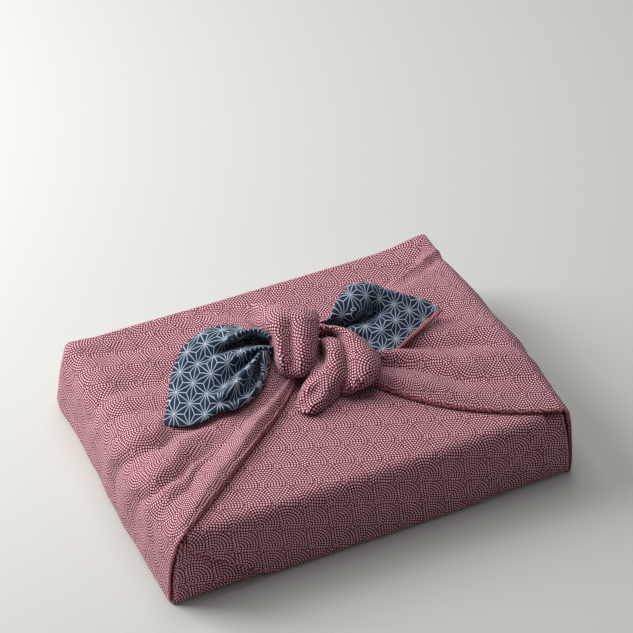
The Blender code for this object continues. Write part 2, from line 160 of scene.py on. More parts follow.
class Sizes(bpy.types.PropertyGroup):
    """What a maker may change in the cloth's make-up."""

    cloth: length("Cloth", "Thickness of one layer", 0.0009)
    hem: length("Hem", "Width of the rolled hem", 0.0022)
    fold_depth: bpy.props.FloatProperty(
        name="Fold depth", description="Share of the folds' full height", default=1.0, subtype="FACTOR"
    )
    dot_pitch: length("Dot pitch", "From one printed dot to the next", 0.00180)
    rings: bpy.props.FloatProperty(
        name="Rings", description="Radius of one scale of the print, in dot pitches", default=7.9
    )
    star_spacing: length("Star spacing", "Between the hemp-leaf stars", 0.0140)
    star_line: length("Star line", "Width of the stars' lines", 0.00050)


class Colours(bpy.types.PropertyGroup):
    """The cloth's and the stage's colours, linear."""

    ground: tint("Ground", "The rose side's ground", (0.105, 0.004, 0.015))
    dot: tint("Dot", "The rose side's dots", (0.98, 0.575, 0.635))
    navy: tint("Navy", "The reverse side's ground", (0.016, 0.032, 0.062))
    line: tint("Line", "The reverse side's lines", (0.56, 0.63, 0.73))
    # The hem colour is also what a rose print's rim is mixed towards, as wear and a painted highlight.
    hem: tint("Hem", "The rolled hem's ground", (0.36, 0.07, 0.075))
    board: tint("Board", "The paperboard of the box", (0.52, 0.42, 0.29))
    floor: tint("Floor", "The plain floor", (0.62, 0.62, 0.585))


# ---------------------------------------------------------------- arithmetic on whole arrays


def ease(x):
    """3x^2 - 2x^3 between 0 and 1, held level outside."""
    x = np.clip(x, 0, 1)
    return x * x * (3 - 2 * x)


def unit(vectors):
    return vectors / np.maximum(np.linalg.norm(vectors, axis=-1, keepdims=True), 1e-12)


def along(rows, share):
    """The Catmull-Rom curve through evenly spaced rows, at shares of its length from 0 to 1."""
    rows = np.asarray(rows, float)
    share = np.asarray(share, float)
    last = len(rows) - 1
    place = np.clip(share, 0, 1) * last
    first = np.minimum(place.astype(int), last - 1)
    part = (place - first)[..., None]
    ends = np.vstack([2 * rows[0] - rows[1], rows, 2 * rows[-1] - rows[-2]])
    a, b, c, d = (ends[first + k] for k in range(4))
    bend = (2 * a - 5 * b + 4 * c - d) * part**2 + (3 * b - a - 3 * c + d) * part**3
    return b + 0.5 * ((c - a) * part + bend)


def glide(rows, at):
    """Cubic Hermite curve through a table, by its first column; level beyond its ends."""
    table = np.asarray(rows, float)
    x, y = table[:, 0], table[:, 1:]
    slope = np.gradient(y, x, axis=0)
    at = np.clip(at, x[0], x[-1])
    i = np.clip(np.searchsorted(x, at, side="right") - 1, 0, len(x) - 2)
    wide = (x[i + 1] - x[i])[..., None]
    s = (at - x[i])[..., None] / wide
    rise = y[i] * (1 + 2 * s) * (1 - s) ** 2 + y[i + 1] * s * s * (3 - 2 * s)
    return rise + wide * (slope[i] * s * (1 - s) ** 2 - slope[i + 1] * s * s * (1 - s))


def creases(out, y, lines):
    """The summed height of folds that run along `out`: each is height * exp(-|d / width|^1.7),
    where d is the distance square to its line, and the near and far sides have their own width."""
    total = np.zeros_like(out)
    for line in lines:
        here = glide(line, out)
        ahead = glide(line, out + 0.5)[..., 0] - glide(line, out - 0.5)[..., 0]
        away = (y - here[..., 0]) / np.sqrt(1 + ahead**2)
        width = np.where(away < 0, here[..., 1], here[..., 2])
        inside = (out >= line[0][0]) & (out <= line[-1][0])
        total += inside * here[..., 3] * np.exp(-(np.abs(away / width) ** 1.7))
    return total


def ripple(x, y, wave, seed):
    """Slack in a cloth: a sum of five sine waves whose directions and phases come from `seed`."""
    pick = np.random.default_rng(seed)
    total = np.zeros_like(x)
    for _ in range(5):
        turn, phase, stretch = pick.random(3) * (2 * np.pi, 2 * np.pi, 1)
        reach = wave * (0.7 + 0.8 * stretch)
        total += np.sin((x * np.cos(turn) + y * np.sin(turn)) * 2 * np.pi / reach + phase)
    return total / 5


def grid_normals(points):
    return unit(np.cross(np.gradient(points, axis=0), np.gradient(points, axis=1)))


def travelled(points, axis):
    """Distance travelled over a grid of points along one axis, from its first row or column."""
    step = np.linalg.norm(np.diff(points, axis=axis), axis=2)
    start = np.zeros_like(np.take(step, [0], axis=axis))
    return np.concatenate([start, np.cumsum(step, axis=axis)], axis=axis)


def half_length(z):
    return LENGTH / 2 - DRAWN_IN * z / HEIGHT


def spread(x, y, z):
    """How far a side wall stands out past its plain face, by the table's reach at this y: greatest
    at the foot on the left, as 1 - (z / height)^3, and at mid height on the right, as a sine."""
    reach = glide(FOOT_SPREAD, y / MM) * MM
    up = np.clip(z / HEIGHT, 0, 1)
    left = reach[..., 0] * (1 - up**3) - BACK_DRAWN_IN * ease((y - 0.078) / 0.020) * up**2
    out = np.where(x < 0, left, reach[..., 1] * np.sin(np.pi * up) ** 0.7)
    return out * ease((np.abs(x) - 0.085) / 0.045)


def lean(y, z):
    """How far the front stands forward of its plain face towards its foot."""
    return FRONT_LEAN * (1 - np.clip(z / HEIGHT, 0, 1)) * ease((-y - 0.090) / 0.008)


def shoulder(x, y, radius_less):
    """How far the top drops towards a side: a quarter circle whose radius comes from the table."""
    radii = glide(SHOULDERS, y / MM) * MM
    radius = np.where(x < 0, radii[..., 0], radii[..., 1])
    radius = np.maximum(radius - radius_less, 0.0005)
    inside = np.clip(TOP_EDGE_OUT - radius_less - np.abs(x), 0, radius)
    return radius - np.sqrt(radius**2 - (radius - inside) ** 2)


def swell(x, y):
    """Sum of rise * exp(-(dx / reach)^2 - (dy / reach)^2) over the table."""
    return sum(
        rise * MM * np.exp(-(((x / MM - at_x) / wide) ** 2) - ((y / MM - at_y) / deep) ** 2)
        for at_x, at_y, wide, deep, rise in SWELLS
    )


# ---------------------------------------------------------------- meshes from grids


def make_piece(name, points, quads, quad_uv, triangles, triangle_uv, materials, kinds):
    """A smooth closed mesh with its print map; it is turned outward if its volume is negative."""
    a, b, c, d = (points[quads[:, k]] for k in range(4))
    if (a * np.cross(b, c)).sum() + (a * np.cross(c, d)).sum() < 0:
        quads, quad_uv = quads[:, ::-1], quad_uv[:, ::-1]
        triangles, triangle_uv = triangles[:, ::-1], triangle_uv[:, ::-1]
    mesh = bpy.data.meshes.new(name)
    mesh.from_pydata(points.tolist(), [], quads.tolist() + triangles.tolist())
    depth = quad_uv.shape[-1]
    corner_uv = np.concatenate([quad_uv.reshape(-1, depth), triangle_uv.reshape(-1, depth)])
    for k, layer in enumerate(("print", "edge")[: depth // 2]):
        pair = np.ascontiguousarray(corner_uv[:, 2 * k : 2 * k + 2], np.float32)
        mesh.uv_layers.new(name=layer).data.foreach_set("uv", pair.ravel())
    kind = np.zeros(len(mesh.polygons), np.int32)
    kind[: len(quads)] = kinds
    mesh.polygons.foreach_set("material_index", kind)
    mesh.polygons.foreach_set("use_smooth", np.ones(len(kind), bool))
    for material in materials:
        mesh.materials.append(material)
    mesh.update()
    obj = bpy.data.objects.new(name, mesh)
    bpy.context.scene.collection.objects.link(obj)
    return obj


def ring_quads(rows, sides):
    """The quads of a tube of `rows` rings, and the columns of their corners in an open map."""
    i, j = np.meshgrid(np.arange(rows - 1), np.arange(sides), indexing="ij")
    i, j = i.ravel(), j.ravel()
    after = (j + 1) % sides
    quads = np.stack([i * sides + j, i * sides + after, (i + 1) * sides + after, (i + 1) * sides + j], 1)
    corners = np.stack([i, j, i, j + 1, i + 1, j + 1, i + 1, j], 1).reshape(-1, 4, 2)
    return quads, corners


def sheet_piece(name, upper, lower, uv, materials):
    """A closed thin sheet between two grids that share their first and last columns. The upper one
    has the first material and the lower one the last."""
    rows, columns = upper.shape[:2]
    ring = np.concatenate([upper, lower[:, -2:0:-1]], axis=1)
    ring_uv = np.concatenate([uv, uv[:, -2:0:-1], uv[:, :1]], axis=1)
    sides = ring.shape[1]
    quads, corners = ring_quads(rows, sides)
    quad_uv = ring_uv[corners[..., 0], corners[..., 1]]
    top, bottom = np.arange(1, columns - 2), sides - np.arange(1, columns - 2)
    corner_tips = np.array([[0, 1, sides - 1], [columns - 2, columns - 1, columns]])
    caps, tips = [], []
    for row, turn in ((0, -1), (rows - 1, 1)):
        start = row * sides
        caps.append((start + np.stack([top, top + 1, bottom - 1, bottom], 1))[:, ::turn])
        tips.append((start + corner_tips)[:, ::turn])
    caps, tips = np.concatenate(caps), np.concatenate(tips)
    flat_uv = ring_uv[:, :sides].reshape(-1, uv.shape[2])
    kinds = np.zeros(len(quads) + len(caps), np.int32)
    kinds[: len(quads)] = np.where(corners[:, 0, 1] < columns - 1, 0, len(materials) - 1)
    return make_piece(
        name,
        ring.reshape(-1, 3),
        np.concatenate([quads, caps]),
        np.concatenate([quad_uv, flat_uv[caps]]),
        tips,
        flat_uv[tips],
        materials,
        kinds,
    )


# ---------------------------------------------------------------- materials


THREAD_PITCH = 0.00045
# The rose print: the way its scales point in the print map, the distance between their rows, and
# its dots by their pitch: smallest radius, how much that varies and how soft their rim is.
SCALE_WAY = (0.788, -0.616)
SCALE_ROW = 0.66
DOT_RADIUS = 0.285
DOT_VARIES = 0.08
DOT_SOFT = 0.04
# The hem, by the distance from the cloth's edge: where the rim's wear and painted highlight start
# and are full, how far to each side of the hem's line a stitch fades and is full, and how strongly
# stitches show.
HEM_WEAR_AND_HIGHLIGHT = (0.0024, 0.0006)
STITCH = 0.0026  # from one stitch to the next, and how much of that is thread
STITCH_SHARE = 0.62
STITCH_WIDE = (0.00030, 0.00016)
STITCH_SHOWS = 0.55


def feed(tree, socket, value):
    """A socket's value: a link from a term or another socket, or a plain value set on it."""
    if isinstance(value, Term):
        tree.links.new(value.socket, socket)
    elif isinstance(value, bpy.types.NodeSocket):
        tree.links.new(value, socket)
    else:
        socket.default_value = value


class Term:
    """A number in a node tree, on which arithmetic makes Math nodes."""

    def __init__(self, tree, socket):
        self.tree = tree
        self.socket = socket

    def math(self, operation, *others):
        node = self.tree.nodes.new("ShaderNodeMath")
        node.operation = operation
        for place, value in enumerate((self, *others)):
            feed(self.tree, node.inputs[place], value)
        return Term(self.tree, node.outputs[0])

    def __add__(self, other):
        return self.math("ADD", other)

    def __sub__(self, other):
        return self.math("SUBTRACT", other)

    def __mul__(self, other):
        return self.math("MULTIPLY", other)

    def __truediv__(self, other):
        return self.math("DIVIDE", other)

    def less(self, other):
        return self.math("LESS_THAN", other)

    def least(self, other):
        return self.math("MINIMUM", other)

    def most(self, other):
        return self.math("MAXIMUM", other)

    def where(self, yes, no):
        """yes where this is 1 and no where it is 0."""
        difference = yes - no if isinstance(yes, Term) else (no * -1) + yes
        return self * difference + no

    def soft_step(self, low, high):
        node = self.tree.nodes.new("ShaderNodeMapRange")
        node.interpolation_type = "SMOOTHSTEP"
        for name, value in (("Value", self), ("From Min", low), ("From Max", high)):
            feed(self.tree, node.inputs[name], value)
        return Term(self.tree, node.outputs["Result"])


def new_material(name):
    material = bpy.data.materials.new(name)
    material.use_nodes = True
    return material, material.node_tree, material.node_tree.nodes["Principled BSDF"]


def map_axes(tree, layer):
    """The two coordinates of a map, in metres, and the map itself."""
    node = tree.nodes.new("ShaderNodeUVMap")
    node.uv_map = layer
    split = tree.nodes.new("ShaderNodeSeparateXYZ")
    tree.links.new(node.outputs["UV"], split.inputs["Vector"])
    return Term(tree, split.outputs["X"]), Term(tree, split.outputs["Y"]), node.outputs["UV"]


def noise(tree, vector, scale, detail=2.0):
    node = tree.nodes.new("ShaderNodeTexNoise")
    node.inputs["Scale"].default_value = scale
    node.inputs["Detail"].default_value = detail
    tree.links.new(vector, node.inputs["Vector"])
    return Term(tree, node.outputs["Fac"])


def mix(tree, share, low, high, blend="MIX"):
    node = tree.nodes.new("ShaderNodeMix")
    node.data_type = "RGBA"
    node.blend_type = blend
    sockets = {s.identifier: s for s in node.inputs}
    for key, value in (("Factor_Float", share), ("A_Color", low), ("B_Color", high)):
        plain = isinstance(value, (tuple, list))
        feed(tree, sockets[key], (*value, 1) if plain else value)
    return next(s for s in node.outputs if s.identifier == "Result_Color")


def varied(tree, share, colour, low, high):
    """Between `low` and `high` times a colour."""
    return mix(tree, share, [low * c for c in colour], [min(1.0, high * c) for c in colour])


def bumped(tree, shader, height, strength, distance):
    bump = tree.nodes.new("ShaderNodeBump")
    bump.inputs["Strength"].default_value = strength
    bump.inputs["Distance"].default_value = distance
    feed(tree, bump.inputs["Height"], height)
    tree.links.new(bump.outputs["Normal"], shader.inputs["Normal"])


def weave(tree, u, v):
    """Plain weave: warp and weft threads as crossed sine ridges, each over the other in turn."""
    warp = (u * (np.pi / THREAD_PITCH)).math("SINE").math("ABSOLUTE")
    weft = (v * (np.pi / THREAD_PITCH)).math("SINE").math("ABSOLUTE")
    column = (u / THREAD_PITCH).math("FLOOR")
    row = (v / THREAD_PITCH).math("FLOOR")
    over = ((column + row) * 0.5).math("FRACT").math("GREATER_THAN", 0.25)
    return over.where(warp, weft)


def dress(tree, shader, printed, thread, vector, shade):
    """Cotton: matt, with a soft sheen, its weave shading the print, and weave and slubs as bump."""
    grey = tree.nodes.new("ShaderNodeCombineColor")
    for channel in ("Red", "Green", "Blue"):
        tree.links.new(shade.socket, grey.inputs[channel])
    colour = mix(tree, 1.0, printed, grey.outputs["Color"], "MULTIPLY")
    tree.links.new(colour, shader.inputs["Base Color"])
    shader.inputs["Roughness"].default_value = 0.88
    shader.inputs["Specular IOR Level"].default_value = 0.15
    shader.inputs["Sheen Weight"].default_value = 0.06
    shader.inputs["Sheen Roughness"].default_value = 0.45
    height = thread * 0.6 + noise(tree, vector, 260.0, 3.0) * 0.8
    bumped(tree, shader, height, 0.35, 0.0004)


def dotted_scales(tree, u, v, pitch, rings, uneven):
    """How much of a dot is at a point of the rose print, 0 to 1.

    Circles of radius pitch * rings stand in rows SCALE_ROW of a radius apart, every other row
    shifted by a radius; the front-most circle that covers a point owns it. Round its middle, the
    rings of evenly spaced dots are one pitch apart.
    """
    radius = pitch * rings
    wide = (u * SCALE_WAY[1] - v * SCALE_WAY[0]) / radius
    tall = (u * SCALE_WAY[0] + v * SCALE_WAY[1]) / radius
    row = ((tall - 1.0) / SCALE_ROW).math("FLOOR") + 1.0
    rise = tall - row * SCALE_ROW
    shift = wide - (row * 0.5).math("FRACT") * 2
    side = shift - (shift * 0.5).math("ROUND") * 2
    other = side - side.math("SIGN")
    covers = (side * side + rise * rise).less(1.0)
    next_rise = rise - SCALE_ROW
    next_covers = (other * other + next_rise * next_rise).less(1.0)
    across = covers.where(side, next_covers.where(other, side))
    up = covers.where(rise, next_covers.where(next_rise, rise - 2 * SCALE_ROW))
    reach = (across * across + up * up).math("SQRT") * rings
    ring = reach.math("ROUND")
    dots = (ring * (2 * np.pi)).math("ROUND").most(1.0)
    turn = across.math("ARCTAN2", up) / (2 * np.pi)
    part = (turn * dots).math("FRACT") - 0.5
    round_it = part * (2 * np.pi) * ring / dots
    outward = reach - ring
    away = (round_it * round_it + outward * outward).math("SQRT")
    size = uneven * DOT_VARIES + DOT_RADIUS
    return away.soft_step(size + DOT_SOFT, size - DOT_SOFT)


def rose_print(name, hemmed):
    """The rose side's dotted scales; a hemmed piece has a lighter, warmer rim along its edge, which is
    wear and a painted highlight of the rolled edge, and is stitched beside it.
    """
    material, tree, shader = new_material(name)
    sizes, colours = bpy.context.scene.furoshiki_sizes, bpy.context.scene.furoshiki_colours
    u, v, vector = map_axes(tree, "print")
    uneven = noise(tree, vector, 420.0)
    dots = dotted_scales(tree, u, v, sizes.dot_pitch, sizes.rings, uneven)
    thread = weave(tree, u, v)
    broad = noise(tree, vector, 22.0, 4.0)
    cloth = varied(tree, broad, colours.ground, 0.86, 1.16)
    fade = noise(tree, vector, 90.0, 3.0)
    ink = mix(tree, fade, [0.88 * c for c in colours.dot], [1.08 * c for c in colours.dot])
    printed = mix(tree, dots, cloth, ink)
    if hemmed:
        from_edge, onward, _ = map_axes(tree, "edge")
        # Painted highlight and wear: near the edge the print is mixed towards the lighter, warmer hem
        # colour, which stands in for the light that the rolled edge catches.
        worn = from_edge.soft_step(*HEM_WEAR_AND_HIGHLIGHT) * (fade * 0.5 + 0.3)
        printed = mix(tree, worn, printed, tuple(colours.hem))
        beside = (from_edge - sizes.hem).math("ABSOLUTE").soft_step(*STITCH_WIDE)
        stitch = beside * (onward / STITCH).math("FRACT").less(STITCH_SHARE)
        printed = mix(tree, stitch * STITCH_SHOWS, printed, tuple(colours.dot))
    dress(tree, shader, printed, thread, vector, thread * 0.16 + 0.90)
    return material


def star_print(name, hem):
    """The navy side's hemp-leaf pattern, and the rose side's print where the hem is rolled over it.

    In a lattice of equal triangles, a point has three shares l1 + l2 + l3 = 1. Its distance to the
    nearest side is height * least, and to the nearest spoke side / 2 * (middle - least).
    """
    material, tree, shader = new_material(name)
    sizes, colours = bpy.context.scene.furoshiki_sizes, bpy.context.scene.furoshiki_colours
    u, v, vector = map_axes(tree, "print")
    from_edge = map_axes(tree, "edge")[0]
    spacing = sizes.star_spacing
    tall = v / (spacing * np.sqrt(3) / 2)
    wide = u / spacing - tall * 0.5
    a, b = wide.math("FRACT"), tall.math("FRACT")
    both = a + b
    upper = both.math("GREATER_THAN", 1.0)
    first = (both - 1.0).math("ABSOLUTE")
    second = upper.where(a * -1 + 1.0, a)
    third = upper.where(b * -1 + 1.0, b)
    least = first.least(second).least(third)
    greatest = first.most(second).most(third)
    middle = (greatest + least) * -1 + 1.0
    to_side = least * (spacing * np.sqrt(3) / 2)
    to_spoke = (middle - least) * (spacing / 2)
    away = to_side.least(to_spoke)
    narrow = greatest.soft_step(1.0, 0.80) * 0.6 + 0.4
    half = narrow * (sizes.star_line / 2)
    frayed = (noise(tree, vector, 900.0) - 0.5) * (sizes.star_line / 4)
    line = (away + frayed).soft_step(half * 1.30, half * 0.70)
    thread = weave(tree, u, v)
    broad = noise(tree, vector, 30.0, 4.0)
    cloth = varied(tree, broad, colours.navy, 0.8, 1.25)
    worn = noise(tree, vector, 160.0, 3.0) * 0.25 + 0.78
    starred = mix(tree, line * worn, cloth, tuple(colours.line))
    dots = dotted_scales(tree, u, v, sizes.dot_pitch, sizes.rings, broad) * 0.6
    rolled_over = mix(tree, dots, tuple(colours.hem), tuple(colours.dot))
    printed = mix(tree, from_edge.less(hem), starred, rolled_over)
    dress(tree, shader, printed, thread, vector, thread * 0.18 + 0.88)
    return material


def paperboard(name, colour):
    """Pressed board: long pale fibres in Object coordinates over a plain ground."""
    material, tree, shader = new_material(name)
    place = tree.nodes.new("ShaderNodeTexCoord")
    mapping = tree.nodes.new("ShaderNodeMapping")
    mapping.inputs["Scale"].default_value = (1, 6, 6)
    tree.links.new(place.outputs["Object"], mapping.inputs["Vector"])
    fibre = noise(tree, mapping.outputs["Vector"], 180.0, 5.0)
    tinted = varied(tree, fibre, colour, 0.8, 1.2)
    tree.links.new(tinted, shader.inputs["Base Color"])
    shader.inputs["Roughness"].default_value = 0.82
    bumped(tree, shader, fibre, 0.2, 0.0003)
    return material


def rose(hemmed=False):
    """The rose side's material, made the first time that it is asked for."""
    name = "rose print with hem" if hemmed else "rose print"
    return bpy.data.materials.get(name) or rose_print(name, hemmed)


# ---------------------------------------------------------------- the band


def band_path():
    """The band's outer line in Y and Z, the way into the cloth, and its two ends in X."""
    rows = np.array(BAND)
    corners, radii, ends, steps = rows[:, :2] * MM, rows[:, 2] * MM, rows[:, 3:5] * MM, rows[:, 5] * MM
    ways = unit(np.diff(corners, axis=0))
    inward = np.stack([-ways[:, 1], ways[:, 0]], axis=1)
    stops = [(corners[0], inward[0], ends[0], steps[0])]
    for i in range(1, len(corners) - 1):
        turn = np.arccos(np.clip(ways[i - 1] @ ways[i], -1, 1))
        if radii[i] == 0:
            middle = unit(inward[i - 1] + inward[i])
            stops.append((corners[i], middle / (middle @ inward[i]), ends[i], steps[i]))
            continue
        cut = radii[i] * np.tan(turn / 2)
        centre = corners[i] - ways[i - 1] * cut + inward[i - 1] * radii[i]
        for angle in np.linspace(0, turn, ARC_STEPS + 1):
            into = inward[i - 1] * np.cos(angle) - ways[i - 1] * np.sin(angle)
            stops.append((centre - into * radii[i], into, ends[i], steps[i]))
    stops.append((corners[-1], inward[-1], ends[-1], steps[-1]))
    path = [stops[0]]
    for before, after in zip(stops, stops[1:]):
        count = max(1, int(np.ceil(np.linalg.norm(after[0] - before[0]) / after[3])))
        for k in range(1, count + 1):
            path.append(tuple(p + (q - p) * k / count for p, q in zip(before, after)))
    return tuple(np.array(column) for column in zip(*path))[:3]


def rim_of(distance, radius):
    """Height of a quarter circle over a sheet's edge: 0 at the edge, 1 from `radius` in."""
    return np.sqrt(np.maximum(1 - (1 - np.clip(distance / radius, 0, 1)) ** 2, 0))


def at_left(x):
    """1 where the over layer's hem stands proud of the layer beneath, and 0 right of there."""
    return ease((LEFT_OF - x) / LEFT_FADE)


def front_lift(x, y, z, side, over_front, thick):
    """How far the front's two layers stand in from their plain faces, less where they stand out.

    The under layer's upright ends are rounded in, its right half lies close to the over layer, and
    it dips beside the over layer's left hem, which has a groove and a raised rim.
    """
    hem = bpy.context.scene.furoshiki_sizes.hem
    turned_in = UPRIGHT_ROUNDING * (1 - rim_of(side, UPRIGHT_ROUNDING)) * ease(z / 0.004) * (y < 0)
    turned_in = turned_in * ease((TOP_LAYER - 0.002 - z) / 0.006)
    hemmed = over_front * np.exp(-(((side - hem * 0.9) / (hem * 0.6)) ** 2)) * GROOVE
    raised = over_front * np.exp(-((side / RIM_WIDE) ** 2)) * ease(-y / 0.09) * ease(z / 0.010) * RIM_RISE
    below_edge = ease((TOP_LAYER - 0.007 - z) / 0.010) * ease(z / 0.006)
    under_front = (1 - over_front) * (y < 0)
    filled = (1 - at_left(x)) * under_front * below_edge * (UNDER_FRONT - thick - LAYER_GAP)
    from_hem = (x - HEM_FOOT + HEM_SLOPE * z + DIP_ASIDE) / DIP_WIDE
    dipped = np.exp(-(from_hem**2)) * under_front * below_edge * DIP
    return turned_in * (1 - over_front) + (hemmed - raised) * at_left(x) - filled + dipped


def band_surface():
    """The band's outer and inner grids: x runs between the two ends of each layer, y and z follow
    the path, and swells, slack and the front's hems are added along the way in."""
    thick = bpy.context.scene.furoshiki_sizes.cloth
    line, into, ends = band_path()
    share = (1 - np.cos(np.linspace(0, np.pi, BAND_COLUMNS))) / 2
    share = (1 - END_CROWDING) * np.linspace(0, 1, BAND_COLUMNS) + END_CROWDING * share
    x = ends[:, :1] + (ends[:, 1:] - ends[:, :1]) * share
    y, z = (np.repeat(line[:, k : k + 1], BAND_COLUMNS, 1) for k in (0, 1))
    at_back = line[:, :1] > PAST_BACK
    past_back = np.cumsum(at_back & (line[:, 1:] > OFF_FLOOR), axis=0) > 0
    over_front = np.cumsum(past_back & (line[:, :1] < -FRONT_TOP + FRONT_APPROACH), axis=0) > 0
    side = np.minimum(x - ends[:, :1], ends[:, 1:] - x)

    distance = travelled(np.stack([x * 0, y, z], 2), 0)
    on_base = int(np.argmin(np.abs(line[:, 0]) + (line[:, 1] > OFF_FLOOR)))
    print_b = distance - distance[on_base] + line[on_base, 0]
    drawn = np.where(np.cumsum(at_back, axis=0) > 0, 0, ease((0.1 - line[:, :1]) / 0.2))
    drawn = drawn * at_left(x)
    print_b = print_b + PRINT_DRAWN[1] * drawn

    rise = swell(x, y) * ease(z / TOP_LAYER) * past_back * (1 - OVER_SWELL_LOST * over_front)
    wave, deep, seed = TOP_SLACK
    slack = ripple(x, y, wave, seed) * deep * ease((z - 0.03) / 0.02) * past_back
    wave, deep, seed = FACE_SLACK
    face = np.where(past_back, 1.0, 0.0) * ease(np.minimum(z, TOP_LAYER - z) / 0.012)
    lift = ripple(x, z * 2, wave, seed) * deep * face + front_lift(x, y, z, side, over_front, thick)
    outer = np.stack([x, y + into[:, :1] * lift, z + into[:, 1:] * lift + rise + slack], 2)
    high = ease(outer[..., 2] / TOP_LAYER)
    outer[..., 1] -= lean(y, outer[..., 2])
    outer[..., 2] -= shoulder(x, y, BAND_INSET) * high
    outer[..., 0] += np.sign(x) * spread(x, y, outer[..., 2])
    inward = np.stack([x * 0, into[:, :1] + x * 0, into[:, 1:] + x * 0], 2) * (thick / 2)
    mid = outer + inward
    half = inward * rim_of(side, thick)[..., None]
    uv = np.stack([x + PRINT_DRAWN[0] * drawn, print_b, side, print_b], 2)
    return mid - half, mid + half, uv


def build_band():
    outer, inner, uv = band_surface()
    return sheet_piece("wrap_band", outer, inner, uv, [rose(True)])


# ---------------------------------------------------------------- the side flaps

# From the knot (first row) over the top edge and down to the foot, evenly spaced, in millimetres.
# "out" is the distance from the middle, measured along the cloth.
LEFT_FLAP = (
    # front edge: out, y; back edge: out, y
    (8.0, 4.0, 4.0, 52.0),
    (34.5, -22.5, 28.0, 84.0),
    (60.0, -43.0, 55.0, 93.0),
    (86.0, -63.5, 83.0, 94.2),
    (110.0, -81.5, 109.0, 95.4),
    (TOP_EDGE_OUT / MM, -96.5, TOP_EDGE_OUT / MM, 98.2),
    (WALL_OUT / MM, -96.8, WALL_OUT / MM, 100.2),
    (FOOT_OUT / MM, -99.6, FOOT_OUT / MM, 102.2),
)
RIGHT_FLAP = (
    (28.0, -18.0, 28.0, 30.0),
    (47.0, -44.5, 47.0, 44.0),
    (68.0, -65.0, 68.0, 56.0),
    (90.0, -79.5, 90.0, 64.0),
    (112.0, -90.5, 112.0, 73.5),
    (TOP_EDGE_OUT / MM, -97.5, TOP_EDGE_OUT / MM, 96.0),
    (WALL_OUT / MM, -100.0, WALL_OUT / MM, 100.0),
    (FOOT_OUT / MM, -102.0, FOOT_OUT / MM, 102.0),
)
# The folds: at each distance out, the crests and valleys met from the back edge to the front one,
# as y and height.
LEFT_RELIEF = (
    (8, 50, .5, 44, .3, 40, .6, 36, .2, 32, .8, 28, .2, 24, 1, 20, 0, 16, 1, 13, .4, 11, .8, 9, .6,
     7.5, 2, 6, .4, 5, 1.6, 4, 1),
    (34, 82, .4, 66, .2, 54, .8, 42, .2, 32, .8, 22, .2, 12, 1, 4, 0, -1, 1, -5, .4, -7, .6, -9, .4,
     -14.5, 3.8, -19.4, .6, -21, 2.6, -22.5, 1.4),
    (56, 90, .4, 74, .2, 60, 1, 46, .2, 34, 1, 20, .2, 8, 1.2, -6, .2, -10, .9, -15, .3, -17, .5,
     -19, .4, -30, 4.8, -36.8, 1.2, -38.4, 3.2, -40, 1.6),
    (70, 92, .4, 75, .2, 60, 1, 46, .1, 32, 1.2, 18, .4, 6, 1.4, -10, .2, -16, 1.4, -24, .4,
     -26, .6, -28, .5, -42.5, 5.2, -48.2, 3, -49.4, 3.6, -51, 1.8),
    (84, 92, .4, 74, .1, 58, 1.2, 42, 0, 26, 1.4, 12, .6, 2, 1.6, -13, .1, -19, 2.2, -33, .3,
     -35, .5, -38, .4, -53.5, 5.2, -57, 4.2, -58, 4, -62, 2),
    (94, 92, .4, 73, 0, 58, 1.5, 34, -.2, 22, 1.2, 11, .4, 3, 1.8, -14, 0, -22, 3.6, -39, .3,
     -41, .8, -44, .4, -61, 5.2, -64.5, 4.2, -66, 3.8, -69.5, 2),
    (104, 92, .4, 76, 0, 60, 1.6, 38, -.4, 24, 1.2, 12, .8, 3, 3.6, -14.5, 0, -26.5, 5, -42, .6,
     -46, 1.9, -50.5, .5, -68.5, 4.8, -72, 4, -73.5, 3.4, -77, 1.8),
    (114, 92, .4, 76, .4, 56, 2, 39, -.4, 27, 1.8, 17, 1, -7, 5, -20.5, 0, -36.5, 5.4, -49.5, .3,
     -55, 2.2, -61.5, .4, -77.5, 4.4, -80, 3.6, -81.5, 3, -84.5, 1.4),
    (122, 92, .4, 78, .8, 54, 2.2, 39, 0, 28, 2, 18, 1.2, -7, 4.8, -19.5, .2, -41, 5, -51.5, .3,
     -56.5, 2.4, -64.5, .4, -84, 3.4, -86.5, 2.6, -88, 2.2, -91, 1),
    (131, 92, .5, 80, 1, 54, 2.2, 39, .4, 28, 2, 18, 1.4, -8, 4.2, -19, .2, -44, 4.6, -53.5, .4,
     -60, 2.6, -69, .8, -89, 2.4, -91, 1.8, -92, 1.5, -95, .8),
    (142, 90, 1.2, 72, .2, 58, 1.6, 36, .2, 24, 1.4, 14, 1.4, -1, 3.2, -12, 0, -33, 3.6, -46, .3,
     -58, 2, -68, .8, -86, 1.6, -90, 1.2, -92, 1, -97, .4),
    (152, 88, 1.4, 70, .6, 60, .8, 48, 0, 34, 1.6, 22, 1, 3, 2.6, -9, 0, -28, 2.6, -44, .3, -62, 2,
     -74, 1, -80, 1.4, -88, .9, -93, .8, -99, .3),
    (162, 88, 1.4, 70, .8, 62, .8, 52, .4, 34, 1.6, 18, .3, 2, 2, -10, .2, -27, 2, -43, .4,
     -64, 1.8, -78, .9, -84, 1, -90, .7, -94, .6, -100, .3),
    (172, 90, 1, 74, .6, 66, .6, 58, .4, 34, 1, 18, .3, 2, 1.4, -12, .3, -27, 1.4, -43, .4,
     -66, 1.2, -80, .7, -86, .7, -92, .5, -95, .5, -101, .3),
    (182, 92, .5, 78, .3, 68, .3, 58, .3, 34, .5, 18, .2, 2, .6, -12, .2, -27, .6, -43, .2, -66, .6,
     -80, .3, -86, .4, -92, .3, -95, .3, -102, .2),
)
